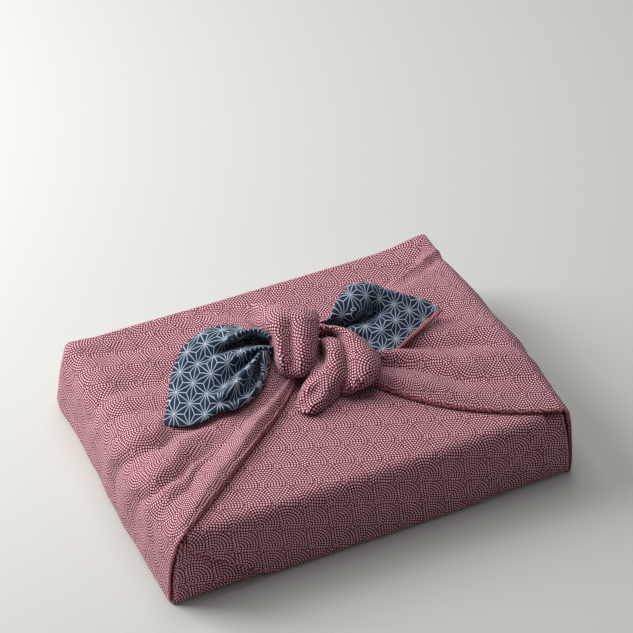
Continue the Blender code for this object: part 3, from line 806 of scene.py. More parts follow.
RIGHT_RELIEF = (
    (28, 30, .4, 16, 3.4, 11, -1.8, 6, 3.6, 2, -3, -3, 3.6, -7, -3, -13, 4.4, -18, 1.6),
    (38, 38, .4, 19, 4, 11, -2.6, 4.5, 4, -1, -4, -6, 4.6, -12, -3.6, -24, 5.2, -32, 1.8),
    (50, 45, .3, 26, 4.2, 13, -2.4, 4, 3.6, -2, -3.6, -10, 4.8, -18, -2.8, -36, 5.2, -47, 1.8),
    (62, 52, .3, 30, 4.2, 14, -2, 4, 3.2, -4, -2.8, -13, 4.8, -26, -1.8, -46, 5, -60, 1.6),
    (76, 59, .3, 38, 3.8, 15, -1.2, 5, 2.8, -7, -1.6, -23, 4.2, -40, -.5, -60, 3.9, -70.5, 1.6),
    (90, 64, .3, 44, 3.4, 15, -.8, -2, 2.6, -14, -1.2, -36, 3.8, -51, .2, -70.5, 3.1, -79.5, 1.5),
    (104, 70, .3, 46, 3, 16, -.4, -5, 2.8, -19, -.9, -38, 3.2, -56, .8, -79, 2.2, -86.5, 1.3),
    (118, 77, -.6, 42, 2.4, 15, .4, -8, 2.6, -26, -.5, -44, 2.7, -66, 1, -86, 1.6, -93, 1),
    (131, 88, -.7, 34, 1.8, 10, .8, -14, 2, -36, -.1, -50, 2, -74, .9, -93, 1, -97, .6),
    (150, 94, -.4, 34, 1.4, 8, .7, -20, 1.4, -42, .2, -56, 1.2, -76, .6, -95, .5, -99, .4),
    (182, 96, .2, 30, .4, 0, .2, -26, .4, -50, .1, -64, .3, -80, .2, -98, .2, -102, .2),
)
LEFT_PLEATS = (
    # narrow folds that run along the flap: out, y, width on its near and far side, height
    ((96, 84, 5, 5, 0), (118, 88, 5, 5, 0.9), (133, 90, 5, 5, 1.2), (152, 90, 5, 5, 1.0),
     (182, 90, 5, 5, 0.3)),
)
RIGHT_PLEATS = (
    ((80, 57, 2.6, 3.0, 0), (88, 60.5, 2.4, 3.0, 1.1), (97, 64.5, 2.4, 3.0, 1.7),
     (108, 69, 2.4, 3.2, 1.8), (119.7, 73.2, 2.6, 3.4, 1.9), (131, 77, 2.6, 3.6, 1.2),
     (140, 79, 3, 4, 0.6), (152, 82, 4, 4, 0)),
    ((86, 53, 3, 3, 0), (98, 57, 3, 3, -0.8), (112, 63, 3, 3, -1.0), (126, 69, 3, 3, -0.9),
     (136, 72, 4, 4, -0.5), (150, 76, 4, 4, 0)),
)
# How far the right flap's upper edge stands out, slantwise, by its y.
RIGHT_EDGE = ((-103, 0.6), (-88, 1.6), (-60, 3.0), (-46, 4.4), (-32, 5.6), (-14, 4.6), (10, 3.6),
              (30, 3.4), (42, 2.6), (56, 2.0), (74, 0.6), (88, 0.0), (103, 0.0))
VALLEY_SHARP = 0.65
EDGE_WIDE = 0.050
ROLL_COLUMNS = 9
FLAP_ROWS = 180
FLAP_COLUMNS = 230
FLAP_OFF_BAND = 0.0012  # how far a flap lies over the band where it is flat, and at the least
LEAST_LIFT = 0.0004
SINK_WIDE = 0.010  # how far from its back edge a flap is sunk into the band, and where that ends
SLACK_FROM = 0.1  # of the flap's length from the knot
EDGES_CROWD = 0.12  # the columns stand closer at both long edges,
FRONT_CROWDS = 0.63  # and closest at the front one
# The flaps' slack: wave, depth and seed, broad and fine.
FLAP_SLACK = ((0.030, 0.00028, 5), (0.011, 0.00010, 6))
# At the back upright corner a flap is pressed down on the band's end: share, how far from its edge.
BACK_PRESSED = 0.75
BACK_PRESSED_WIDE = 0.008


def relief(out, y, table):
    """The height between neighbouring crests and valleys along y: a sine quarter that is level at
    the crest and steep at the valley, mixed with an even ease."""
    knots = glide(table, out)
    places, heights = knots[..., 0::2], knots[..., 1::2]
    total = heights[..., 0].copy()
    for k in range(places.shape[-1] - 1):
        gap = np.minimum(places[..., k + 1] - places[..., k], -0.3)
        step = heights[..., k + 1] - heights[..., k]
        share = np.clip((y - places[..., k]) / gap, 0, 1)
        quarter = np.where(step > 0, np.sin(share * np.pi / 2), 1 - np.cos(share * np.pi / 2))
        total += step * (VALLEY_SHARP * quarter + (1 - VALLEY_SHARP) * ease(share))
    return total


def over_the_edge(out, radius):
    """How far in from the wall and below the top a point lies, and the turn there: a quarter
    circle between the level top and the wall."""
    start = TOP_EDGE_OUT - radius + (2 - np.pi / 2) * radius / 2
    past = out - start
    turn = np.clip(past / radius, 0, np.pi / 2)
    inward = np.maximum(-past, 0) + radius * (1 - np.sin(turn))
    down = np.maximum(past - radius * np.pi / 2, 0) / (FOOT_OUT - start - radius * np.pi / 2)
    drop = radius * (1 - np.cos(turn)) + down * (HEIGHT - radius)
    return inward, drop, turn


def flap_surface(side, edges, folds, pleats, edge, neck_rise, neck_reach, rolls, back_sink):
    """The outer and inner grids of a flap.

    A point stands on the parcel's plain face at (out, y) and is lifted square to it by the neck's
    rise, the folds and the slack. Both long edges are rolled: half an ellipse as high as the lift.
    """
    front_roll, back_roll = rolls
    v = np.linspace(0, 1, FLAP_ROWS)[:, None]
    row = along(edges, v[:, 0]) * MM
    span = np.hypot(row[:, 3] - row[:, 1], row[:, 2] - row[:, 0])[:, None]
    angles = np.linspace(0, np.pi / 2, ROLL_COLUMNS)
    rolled = 1 - np.cos(angles)
    share = np.linspace(0, 1, FLAP_COLUMNS)[1:-1]
    crowded = EDGES_CROWD * np.sin(2 * np.pi * share) / np.pi + FRONT_CROWDS * share * (1 - share) ** 2
    share = share - crowded
    inner_from, inner_to = front_roll / span, 1 - back_roll / span
    u = np.concatenate(
        [
            front_roll * rolled / span,
            inner_from + (inner_to - inner_from) * share,
            1 - back_roll * rolled[::-1] / span,
        ],
        axis=1,
    )
    v = np.repeat(v, u.shape[1], axis=1)
    out = row[:, :1] + (row[:, 2:3] - row[:, :1]) * u
    y = row[:, 1:2] + (row[:, 3:4] - row[:, 1:2]) * u
    radius = glide(SHOULDERS, y / MM)[..., 0 if side < 0 else 1] * MM
    inward, drop, turn = over_the_edge(out, radius)
    neck = (1 - ease(v / neck_reach)) ** 2 * np.sin(np.pi * u) ** 0.7
    depth = bpy.context.scene.furoshiki_sizes.fold_depth
    height = relief(out / MM, y / MM, folds) + creases(out / MM, y / MM, pleats)
    lift = FLAP_OFF_BAND + neck_rise * neck + height * MM * depth
    if edge:
        fanned = (2 * u - 1) * WIDTH / 2 / MM
        wide = np.where(out < TOP_EDGE_OUT, EDGE_WIDE, EDGE_WIDE / 3)
        lift += glide(edge, fanned)[..., 0] * MM * np.exp(-(((out - TOP_EDGE_OUT) / wide) ** 2))
    waves = sum(ripple(out, y, wave, seed) * deep for wave, deep, seed in FLAP_SLACK)
    lift += waves * ease(v / SLACK_FROM)
    from_front, from_back = u * span, (1 - u) * span
    on_top = 1 - ease((out - TOP_EDGE_OUT + 0.012) / SINK_WIDE)
    sunk = back_sink * (1 - ease(from_back / SINK_WIDE)) * on_top
    lift = np.maximum(lift - sunk, LEAST_LIFT - sunk * 0.8)
    at_corner = (1 - ease(from_back / BACK_PRESSED_WIDE)) * ease((out - TOP_EDGE_OUT + 0.003) / 0.006)
    lift = lift * (1 - BACK_PRESSED * at_corner)
    rim = rim_of(from_front, front_roll) * rim_of(from_back, back_roll)
    cloth = bpy.context.scene.furoshiki_sizes.cloth
    inside = ease((np.minimum(from_front - front_roll, from_back - back_roll)) / 0.004)
    under = np.where(rim < 1, lift * (1 - rim) / 2, np.maximum(lift - cloth, 0) * inside)
    over = lift * (1 + rim) / 2

    def placed(height):
        z = TOP_LAYER - drop
        wall = half_length(np.clip(z, 0, HEIGHT)) - FLAP_OFF_BAND * np.sin(turn) - inward
        foot = np.maximum(FOOT_RADIUS - z, 0)
        wall = wall - (FOOT_RADIUS - np.sqrt(np.maximum(FOOT_RADIUS**2 - foot**2, 0))) * (turn > 1.5)
        x = wall + height * np.sin(turn)
        z = np.maximum(z + height * np.cos(turn), 0.0)
        z = z + swell(side * x, y) * ease(z / TOP_LAYER)
        return np.stack([side * (x + spread(side * x, y, z)), y, z], axis=2)

    upper = placed(over)
    lower = placed(under)
    lower[:, 0] = upper[:, 0]
    lower[:, -1] = upper[:, -1]
    across = travelled(upper, 1)
    middle = FLAP_COLUMNS // 2
    print_b = across - across[:, middle : middle + 1] + y[:, middle : middle + 1]
    down = travelled(upper, 0)
    print_a = side * (LENGTH / 2 + down[-1:] - down)
    return upper, lower, np.stack([print_a, print_b, from_front + 0 * print_a, print_a], axis=2)


def build_flaps():
    left = flap_surface(
        -1,
        LEFT_FLAP,
        LEFT_RELIEF,
        LEFT_PLEATS,
        None,
        neck_rise=0.0080,
        neck_reach=0.42,
        rolls=(0.0018, 0.0012),
        back_sink=0.0,
    )
    right = flap_surface(
        1,
        RIGHT_FLAP,
        RIGHT_RELIEF,
        RIGHT_PLEATS,
        RIGHT_EDGE,
        neck_rise=0.0085,
        neck_reach=0.85,
        rolls=(0.0026, 0.0010),
        back_sink=0.0006,
    )
    return [
        sheet_piece(name, *grids, [rose(True)])
        for name, grids in (("left_flap", left), ("right_flap", right))
    ]


# ---------------------------------------------------------------- the knot and the ears

# Each table is a net of points in millimetres that its sheet is drawn through, row by row.
NEAR_LOBE = (
    ((-13.2, 68.2, 58), (-13, 67, 58), (-8.4, 60.3, 60), (-2.5, 54.1, 60), (3.1, 49.1, 60),
     (7.7, 45.5, 60), (14.4, 41.1, 60), (19.8, 37.9, 58), (21.4, 37.1, 58)),
    ((-16.2, 61.9, 68), (-16, 60.7, 70), (-11.4, 54, 74.5), (-5.5, 47.8, 77), (0.1, 42.8, 78),
     (4.7, 39.2, 78.2), (11.4, 34.8, 77.6), (17.2, 32.5, 75), (19.3, 32.6, 72)),
    ((-17, 55.7, 62), (-17.3, 52.4, 66), (-14, 42, 76), (-8.8, 33.7, 81.6), (-2.2, 29.3, 82.2),
     (1.9, 26.3, 82.6), (7.3, 23.6, 81.8), (13.9, 22.5, 78.4), (18.1, 27, 72)),
    ((-16.7, 44.4, 62), (-17.7, 38.8, 69), (-15.4, 29.6, 78), (-11.2, 25.1, 80.6), (-3.6, 22.7, 78.2),
     (-0.8, 19.3, 80.6), (3.8, 17.2, 80.5), (11.8, 16.9, 76), (15.3, 21.8, 70)),
    ((-14.1, 35.5, 59), (-14.9, 31.1, 65), (-15.3, 21.4, 74), (-13.5, 17.7, 76.8), (-6.3, 16.5, 73.6),
     (-4.2, 12.1, 77.1), (0.2, 9.5, 77.5), (8.3, 10.4, 73), (11.7, 15.3, 67)),
    ((-14.7, 27.5, 56), (-15.9, 23.5, 61), (-17.1, 14.3, 69), (-16.2, 10, 72.8), (-9.4, 9.7, 69.2),
     (-7.5, 5.1, 72.6), (-3.6, 2.2, 73.5), (4.5, 4.1, 69), (7.9, 9, 63)),
    ((-17.3, 19.3, 53), (-18.4, 15.8, 57.5), (-19.5, 7.5, 64.6), (-18.7, 3.3, 67.8), (-12.5, 2.7, 65.4),
     (-10.4, -1.1, 67.6), (-7.2, -3.8, 68.5), (0, -1.8, 64.5), (3.2, 2.5, 59)),
    ((-16.9, 15, 51), (-17.7, 11.6, 54), (-18.8, 4.1, 58.5), (-17.7, 0.5, 60.5), (-15.3, -1.5, 60.6),
     (-12.7, -3.7, 61), (-9.3, -6.6, 62), (-3.9, -4.2, 59.5), (-0.5, 0.4, 55)),
    ((-13.3, 12.8, 49.5), (-13.6, 10.5, 51), (-14.1, 5.8, 53), (-13.7, 3.4, 54), (-12.4, 2, 54),
     (-10.6, -0.1, 55), (-7.9, -1, 55), (-3.7, -0.4, 54), (-0.8, 3.2, 51)),
)
FAR_LOBE = (
    ((15.1, 21.4, 62), (15.3, 21.1, 64), (15.7, 21.2, 65.5), (15.1, 19.7, 68.5), (14.6, 18.4, 71.5),
     (15.1, 18.9, 72.5), (16.4, 21.2, 71)),
    ((21.6, 17.1, 62), (21.5, 16.6, 65), (22.7, 18.7, 64.9), (21.3, 15.4, 70), (21.1, 14.6, 72.5),
     (21.5, 15.1, 73.5), (22.8, 17.3, 72)),
    ((22.9, 5.1, 66.6), (24.3, 6.3, 67.5), (24.6, 5.9, 70), (25.4, 6, 72), (26.2, 6.4, 74),
     (27.5, 7.8, 74.5), (29.2, 10.1, 73)),
    ((21.6, -0.9, 65.6), (21.7, -2.9, 68.6), (23.3, -3.2, 70.5), (25.3, -3.1, 73), (28.2, -1.6, 74.5),
     (30.4, 0.6, 74.5), (32.9, 3.9, 72.5)),
    ((19.9, -6.1, 62.8), (19.5, -9, 66.4), (21.7, -10.6, 69), (25, -11.9, 72), (29.5, -10.6, 73.5),
     (33.3, -7.8, 73), (36.6, -4, 70.5)),
    ((18.2, -11.2, 60), (17.6, -14.6, 64), (20, -19, 67.5), (24.3, -21.3, 70.5), (30.3, -19.7, 71.5),
     (35.3, -16, 70.5), (39.3, -11.5, 67.5)),
    ((16.7, -15.3, 57.2), (16, -19, 61.6), (18.5, -24.5, 65), (23.3, -28.2, 68), (30.1, -26.4, 68.5),
     (36.2, -21.5, 66.5), (40.9, -16, 63)),
    ((14.6, -19, 54.4), (13.7, -22.9, 59), (16.7, -28.3, 62), (21.9, -31, 64.5), (29, -29.7, 64.5),
     (35.5, -24.7, 62), (39.9, -19.7, 58.5)),
    ((12.2, -21.7, 52), (11.9, -24.1, 55), (15.4, -28.9, 58.5), (20.5, -31.3, 60.5), (27.2, -30, 60.5),
     (33.3, -26.1, 58.5), (37.7, -21.7, 55.5)),
    ((10.7, -22.9, 50.5), (10.7, -24.2, 52.5), (14.6, -27.4, 54.5), (20.4, -28.4, 56), (27.1, -27.2, 56),
     (32.8, -24, 54.5), (36.5, -20.6, 52.5)),
    ((11.1, -22.1, 49.5), (11.8, -22.1, 50), (16.5, -23.5, 50.5), (22.7, -23.5, 51), (29.3, -22.2, 51),
     (34.5, -20, 50.5), (37.4, -18.2, 50)),
)
TAIL_LOBE = (
    ((10.8, 16.7, 63), (11.7, 15.8, 64), (13.2, 15.4, 64.5), (14.7, 13.6, 67), (17.7, 11.9, 68.2),
     (20.9, 9.3, 68.4), (23.2, 5.9, 68), (24.9, 4.9, 66.5)),
    ((10, 14.5, 64), (10.7, 13.1, 65.5), (13.9, 16.5, 62.5), (13.6, 9.6, 69.2), (15.9, 7.1, 71.2),
     (18.6, 4.6, 71.6), (21.2, 1.4, 71), (23.5, 1.5, 68.5)),
    ((9.2, 12.7, 62), (11.3, 13.3, 61), (14.9, 17, 57), (12.1, 4.3, 69.4), (13.3, 0.9, 72.4),
     (15.8, -2.1, 73), (19.4, -3.6, 71), (22.6, -1.7, 67.6)),
    ((6.8, 8.3, 60), (9.4, 9.4, 58), (14.1, 13.6, 53.5), (10.8, -1.1, 67.4), (11.5, -5.4, 71.4),
     (13.7, -8, 72), (17.6, -8.9, 69.4), (21.2, -6.6, 65.6)),
    ((3.8, 3.9, 58), (5.5, 3.2, 58.5), (9.7, 4.3, 57), (7.9, -6.6, 66.4), (9.1, -10.5, 69.6),
     (12, -12.9, 70), (16.2, -13.5, 67.2), (20, -10.6, 62.6)),
    ((0.3, 0.5, 56), (-0.9, -5.3, 62), (2.4, -7.2, 63.5), (4, -12.8, 66.4), (7, -15.5, 67.7),
     (10.4, -17.5, 67.7), (15.2, -17.3, 64.4), (19.1, -14.2, 59.6)),
    ((-4.7, -3.8, 54.5), (-5.8, -9.3, 60), (-2.9, -13.5, 62.5), (0.4, -17.3, 64.5), (4.2, -19.8, 65.3),
     (8.4, -21.6, 64.6), (13.2, -21.3, 61), (17.2, -18, 56)),
    ((-9.9, -8.2, 53), (-10.9, -13.2, 58), (-9.4, -18.1, 61.4), (-4.2, -20.2, 61.4), (1.1, -23.9, 62.5),
     (5.9, -24.3, 60.5), (10.5, -22.3, 55.5), (12.6, -20, 52)),
    ((-14.9, -12.8, 51), (-15.4, -18.6, 56.5), (-14.3, -21.6, 58.6), (-9.2, -23.4, 58.4),
     (-3.2, -27.2, 59.3), (1.3, -26.7, 56.8), (5.1, -26, 53.5), (7.1, -24.8, 51)),
    ((-19.1, -19.2, 50), (-19.6, -22.6, 53.4), (-16.8, -25.8, 54.4), (-13.4, -30.7, 57.3),
     (-8.6, -31.1, 56.4), (-4.6, -30.2, 54.4), (-0.8, -28.6, 52), (1.4, -27.1, 50)),
    ((-20.1, -23.6, 49.6), (-20.5, -25.8, 51.5), (-19.1, -30.1, 53.2), (-15.3, -33, 53.8),
     (-10.5, -32.8, 53.2), (-6.6, -31.1, 52), (-3.1, -29.5, 51), (-1.4, -28.4, 49.8)),
    ((-19.7, -23.4, 49), (-19.5, -24.2, 49.6), (-17.6, -27.3, 50), (-13.7, -29.7, 50.2),
     (-9.1, -29.9, 50), (-5.7, -29.2, 49.8), (-2.6, -28.4, 49.6), (-1.3, -27.9, 49.2)),
)
LEFT_EAR = (
    ((-15.6, 19.8, 60), (-16.8, 18.5, 63), (-15.7, 21.7, 61), (-17, 19.4, 64), (-15.4, 23.5, 61),
     (-16.6, 21.5, 64), (-17.3, 20.7, 66), (-12.2, 32.8, 58), (-16.7, 25.3, 71), (-15, 28.8, 69),
     (-13.2, 32.4, 67)),
    ((-17.8, 20.8, 60), (-23.3, 20.8, 65.5), (-22.7, 23.4, 62.5), (-24.7, 20.3, 66), (-23.5, 24.6, 63),
     (-24.9, 24.4, 65), (-26.7, 23.1, 67.5), (-18.9, 40.8, 56), (-21.8, 32.3, 72.5), (-20.8, 35.2, 71),
     (-19.6, 38.8, 69)),
    ((-22.4, 13, 57.5), (-28.8, 11.8, 65), (-28.1, 17.6, 57), (-35.4, 10.6, 68.6), (-33.3, 21.5, 59.5),
     (-36.4, 21.6, 64), (-36.1, 23.3, 67.5), (-28.1, 44.2, 55.5), (-29.5, 36.6, 71.5),
     (-27.7, 39.2, 69.5), (-26.6, 41.6, 68)),
    ((-30.5, 3.3, 55.5), (-34, 1, 62.5), (-35.6, 7.5, 55.5), (-49.1, 1.5, 67.2), (-45.1, 16.7, 57),
     (-47.2, 20.1, 61.5), (-43.7, 24.9, 66), (-38.3, 41.7, 57), (-39.3, 37.6, 68.5), (-34.9, 44.7, 67),
     (-29.6, 54.1, 64.5)),
    ((-41.9, -6.6, 55.5), (-43.3, -6.3, 59.5), (-46.5, -2.1, 57.5), (-59, -2.4, 64), (-56.8, 9.9, 57),
     (-58.2, 16.7, 60.5), (-52.5, 26.5, 64.5), (-51.7, 34, 61.5), (-49.7, 41.5, 65.5), (-48.1, 50.3, 65),
     (-45.5, 60.4, 62)),
    ((-57, -12.3, 56), (-58.5, -10.7, 58.5), (-58.7, -5.5, 58), (-65.4, -3, 61.5), (-65.6, 5.5, 58.5),
     (-66.1, 14.4, 60), (-60.7, 26.3, 62.5), (-60.4, 33, 61.5), (-60.3, 40.3, 63.5), (-59.1, 50.8, 62.5),
     (-61.7, 55.5, 60)),
    ((-68.7, -10.4, 55.5), (-69.4, -9, 57.3), (-69.3, -5.5, 57.5), (-71.3, -0.7, 59), (-71.8, 5.7, 58.4),
     (-72.6, 13.6, 59.4), (-70.5, 24.1, 61), (-70.5, 30, 60.8), (-70.9, 36.4, 61.4), (-70.4, 43.8, 60.6),
     (-72.2, 47.4, 58.6)),
    ((-82.7, -13.3, 54.5), (-82.3, -10.1, 55.6), (-81.9, -6.3, 56.2), (-81.6, -2.5, 56.8),
     (-82.1, 1.9, 57.2), (-83.2, 8, 58), (-82.2, 16.1, 58.8), (-82.6, 21, 58.8), (-81.7, 27.4, 58.8),
     (-80.9, 33.8, 58), (-83.5, 31.9, 56.6)),
    ((-93.7, -10.2, 53.6), (-93.4, -8.1, 54.4), (-92.7, -5.1, 54.8), (-92.6, -2.9, 55.2),
     (-92.8, -0.4, 55.5), (-93.4, 2.5, 55.7), (-93.7, 5.3, 55.8), (-94, 7.4, 55.8), (-94, 9.8, 55.7),
     (-93.7, 12, 55.4), (-93.8, 13.6, 54.9)),
    ((-103, -4.8, 53.2), (-103.1, -4.6, 53.3), (-103.2, -4.5, 53.4), (-103.3, -4.3, 53.4),
     (-103.3, -4.2, 53.5), (-103.3, -4, 53.5), (-103.3, -3.8, 53.5), (-103.3, -3.7, 53.5),
     (-103.3, -3.5, 53.5), (-103.2, -3.2, 53.4), (-103.1, -3, 53.3)),
)
RIGHT_EAR = (
    ((32.8, 8.7, 60), (32.5, 12.2, 62), (32.8, 15.5, 64), (33.7, 19.3, 63), (35.5, 24.4, 60),
     (34.8, 23.9, 62), (30, 25.9, 63), (25.4, 28.5, 64), (22.1, 32.6, 64)),
    ((37.5, 2.5, 60), (38.3, 9.4, 62), (37.8, 12.5, 66), (39.7, 18.9, 65), (42.5, 27.2, 60),
     (38.4, 21.8, 68.5), (32.9, 23.9, 70.5), (29.2, 25.7, 72), (26.2, 27, 71)),
    ((39.6, -6.4, 60), (42.7, 3.7, 62.5), (43.3, 9.2, 66.5), (46.2, 17, 65), (48.3, 26.6, 60.5),
     (41.9, 20.9, 72), (37.2, 24.7, 74.5), (33.1, 29.1, 76.5), (30.6, 31, 75)),
    ((42.2, -11.7, 60.5), (46.2, 0.4, 63), (48, 8, 66.5), (51.7, 17.6, 65), (53.4, 27.6, 61),
     (45.6, 22, 73.4), (41.5, 25.7, 77.5), (39.4, 32.2, 79.5), (38.2, 37.4, 77)),
    ((48, -13, 60.5), (51.4, 0.3, 63.5), (51.9, 6.8, 67.5), (55.8, 16.6, 66), (57.7, 26.9, 62.4),
     (50.8, 24.3, 73.4), (48.5, 27.9, 78), (47.5, 35.4, 80.5), (49.3, 42.6, 78.5)),
    ((56.4, -10.9, 60.5), (58.7, 1.8, 63.5), (58.2, 7.5, 67), (59.9, 16.2, 68), (60.3, 24.8, 66),
     (57.5, 27.2, 73), (57, 29.2, 77), (58.2, 34.4, 79.5), (61, 41.1, 77.5)),
    ((67.9, -4.8, 60.5), (67.7, 2.8, 63.3), (65.6, 7.9, 66.3), (65.2, 15, 68), (64.4, 21.2, 68.8),
     (63.3, 25.5, 71.5), (64.5, 28.3, 73.8), (66, 31.3, 75.2), (68.8, 36.6, 73.5)),
    ((78.6, 0.6, 60.5), (76.3, 5.4, 62.8), (74.9, 9.2, 65), (73.5, 13.7, 66.7), (72.4, 18.7, 67.8),
     (73.1, 23.9, 69), (75.3, 25.9, 69.8), (77.4, 27.5, 70.2), (80.1, 29.8, 69.2)),
    ((90.2, 6.5, 60.8), (89.3, 9.9, 62), (88.4, 11.6, 63), (87.8, 13.6, 63.8), (87, 15.7, 64.2),
     (86.9, 18.3, 64.6), (90.1, 19.4, 64.8), (92, 20.6, 64.8), (94.4, 22.3, 64.2)),
    ((99.8, 11, 61.6), (99.8, 11, 61.7), (100, 11.2, 61.7), (100.1, 11.2, 61.8), (100.1, 11.4, 61.8),
     (100.3, 11.5, 61.8), (100.4, 11.7, 61.8), (100.5, 12, 61.7), (100.7, 12.2, 61.6)),
)
LOBES = (
    # name, net, nodes each way, turn of the print
    ("knot_near_lobe", NEAR_LOBE, (34, 28), 0.3),
    ("knot_far_lobe", FAR_LOBE, (34, 24), 1.9),
    ("knot_tail_lobe", TAIL_LOBE, (36, 26), 1.1),
)
LOBE_CUTS = ((0.068, 0.0795, 0.0043), (0.040, 0.069, 0.00182), (0.042, 0.0645, 0.00225))
LOBE_THICK = 0.0016
LOBE_SLACK = (0.014, 0.0004, 31)  # wave, depth and first seed
EARS = (
    # name, net, hem along the last column, where it starts, hem width; in the flat map, in
    # millimetres: where one star stands and the steps to two of its neighbours
    ("left_ear", LEFT_EAR, True, 0.36, 0.0009, ((40.7, -8.4), (-12.8, 0.0), (-11.6, 12.8))),
    ("right_ear", RIGHT_EAR, False, 0.20, 0.0027, ((4.5, -24.0), (11.0, 7.5), (2.5, 14.2))),
)
EAR_CUTS = ((0.091, 0.0935, 0.0067), (0.063, 0.068, 0.00335))
EAR_NODES = (36, 30)
EAR_THICK = 0.0012
EAR_SLACK = (0.020, 0.0004, 41)
EDGE_ROUNDED = 0.7  # of the thickness, over which the edge of a lobe or an ear is rounded
WELT = 0.6  # how much thicker an ear is at its rolled hem
NET_STRIDE = 3
FLATTEN_ROUNDS = 200


def resampled(grid, rows, columns):
    """The Catmull-Rom surface through a grid, at `rows` by `columns` even places."""
    depth = grid.shape[2]
    down = along(grid.reshape(len(grid), -1), np.linspace(0, 1, rows)).reshape(rows, -1, depth)
    turned = down.transpose(1, 0, 2).reshape(down.shape[1], -1)
    across = along(turned, np.linspace(0, 1, columns))
    return across.reshape(columns, rows, depth).transpose(1, 0, 2)


def flattened(points):
    """The sheet laid flat: a map in which neighbours stand as far apart as on the surface.

    Every round draws each pair of neighbours to its true distance along its present direction, and
    solves one linear system, whose matrix is the Laplacian of the pairs, for all places at once.
    """
    nodes = points[::NET_STRIDE, ::NET_STRIDE]
    high, wide = nodes.shape[:2]
    index = np.arange(high * wide).reshape(high, wide)
    pairs = (
        (index[:-1], index[1:]),
        (index[:, :-1], index[:, 1:]),
        (index[:-1, :-1], index[1:, 1:]),
        (index[:-1, 1:], index[1:, :-1]),
    )
    a, b = (np.concatenate([pair[k].ravel() for pair in pairs]) for k in (0, 1))
    spots = nodes.reshape(-1, 3)
    apart = np.linalg.norm(spots[a] - spots[b], axis=1)
    laplacian = np.full((high * wide, high * wide), 1.0 / (high * wide))
    for i, j, value in ((a, a, 1), (b, b, 1), (a, b, -1), (b, a, -1)):
        np.add.at(laplacian, (i, j), value)
    inverse = np.linalg.inv(laplacian)
    onward = travelled(nodes, 0).mean(axis=1, keepdims=True)
    aside = travelled(nodes, 1)
    flat = np.stack([onward + 0 * aside, aside - aside[:, wide // 2, None]], 2).reshape(-1, 2)
    for _ in range(FLATTEN_ROUNDS):
        step = flat[a] - flat[b]
        step *= (apart / np.maximum(np.linalg.norm(step, axis=1), 1e-9))[:, None]
        pull = np.zeros_like(flat)
        np.add.at(pull, a, step)
        np.add.at(pull, b, -step)
        flat = inverse @ pull
    return resampled(flat.reshape(high, wide, 2), *points.shape[:2])


def net_sheet(table, nodes, slack, place):
    """The middle of a sheet drawn through a net, which way it faces, and the distances of every
    point from its first and last columns. Slack is added square to it, away from those two edges."""
    rows, columns = ((count - 1) * NET_STRIDE + 1 for count in nodes)
    middle = resampled(np.array(table) * MM, rows, columns)
    wave, deep, seed = slack
    for height in (deep, 0.0):
        facing = grid_normals(middle)
        facing *= np.sign(facing[..., 2].sum())
        aside = travelled(middle, 1)
        inner = np.minimum(aside, aside[:, -1:] - aside)
        waves = ripple(middle[..., 0], middle[..., 1] - middle[..., 2], wave, seed + place)
        middle = middle + facing * (height * waves * ease(inner / 0.006))[..., None]
    return middle, facing, aside, aside[:, -1:] - aside


def build_knot():
    """Three sheets that lap over one another: the near and far lobes and the tail between them."""
    pieces = []
    for place, (name, table, nodes, turn) in enumerate(LOBES):
        middle, facing, first, last = net_sheet(table, nodes, LOBE_SLACK, place)
        half = LOBE_THICK / 2 * rim_of(np.minimum(first, last), LOBE_THICK * EDGE_ROUNDED)[..., None]
        turned = np.array([[np.cos(turn), np.sin(turn)], [-np.sin(turn), np.cos(turn)]])
        uv = flattened(middle) @ turned
        pieces.append(sheet_piece(name, middle + facing * half, middle - facing * half, uv, [rose()]))
    return pieces


def build_ears():
    """Two sheets, navy side up, with a hem rolled over along one edge as a welt."""
    pieces = []
    spacing = bpy.context.scene.furoshiki_sizes.star_spacing
    for place, (name, table, hem_last, hem_from, hem, stars) in enumerate(EARS):
        middle, facing, first, last = net_sheet(table, EAR_NODES, EAR_SLACK, place)
        edge = last if hem_last else first
        onward = np.linspace(0, 1, len(middle))[:, None]
        edge = edge + 0.02 * (1 - ease((onward - hem_from + 0.01) / 0.02))
        welt = 1 + WELT * ease((hem * 1.05 - edge) / (hem * 0.3))
        half = EAR_THICK / 2 * rim_of(np.minimum(first, last), EAR_THICK * EDGE_ROUNDED) * welt
        origin, *steps = np.array(stars) * MM
        lattice = (flattened(middle) - origin) @ np.linalg.inv(np.array(steps))
        share = lattice @ np.array([[1, 0], [0.5, np.sqrt(0.75)]])
        uv = np.concatenate([share * spacing, np.stack([edge, onward + 0 * edge], 2)], axis=2)
        upper, lower = middle + facing * half[..., None], middle - facing * half[..., None]
        navy = star_print(f"star print {name.split('_')[0]}", hem)
        pieces.append(sheet_piece(name, upper, lower, uv, [navy, rose()]))
    return pieces


# ---------------------------------------------------------------- the stage


# Each light's name, place, aim, size in metres and power in watts.
LIGHTS = (
    ("key", (-0.74, 0.72, 0.66), (0.0, 0.0, 0.02), 0.70, 17.5),
    ("back", (0.10, 0.50, 1.4), (0.0, 0.0, 0.0), 1.1, 10.0),
)
SKY = (0.93, 0.96, 1.0, 1)
SKY_STRENGTH = 0.165
CAMERA_AT = (-0.49185, -1.04059, 1.0656)
CAMERA_AIM = (-0.00246, -0.00946, 0.020)
SENSOR = 36.0
RENDER_SIDE = 633  # pixels, in which the focal length and the shift are given
FOCAL = 2400
SHIFT = (2.5, 106.5)


def aimed(place, aim):
    """The rotation that points a light or a camera at `place` to `aim`."""
    return (Vector(aim) - Vector(place)).to_track_quat("-Z", "Y").to_euler()


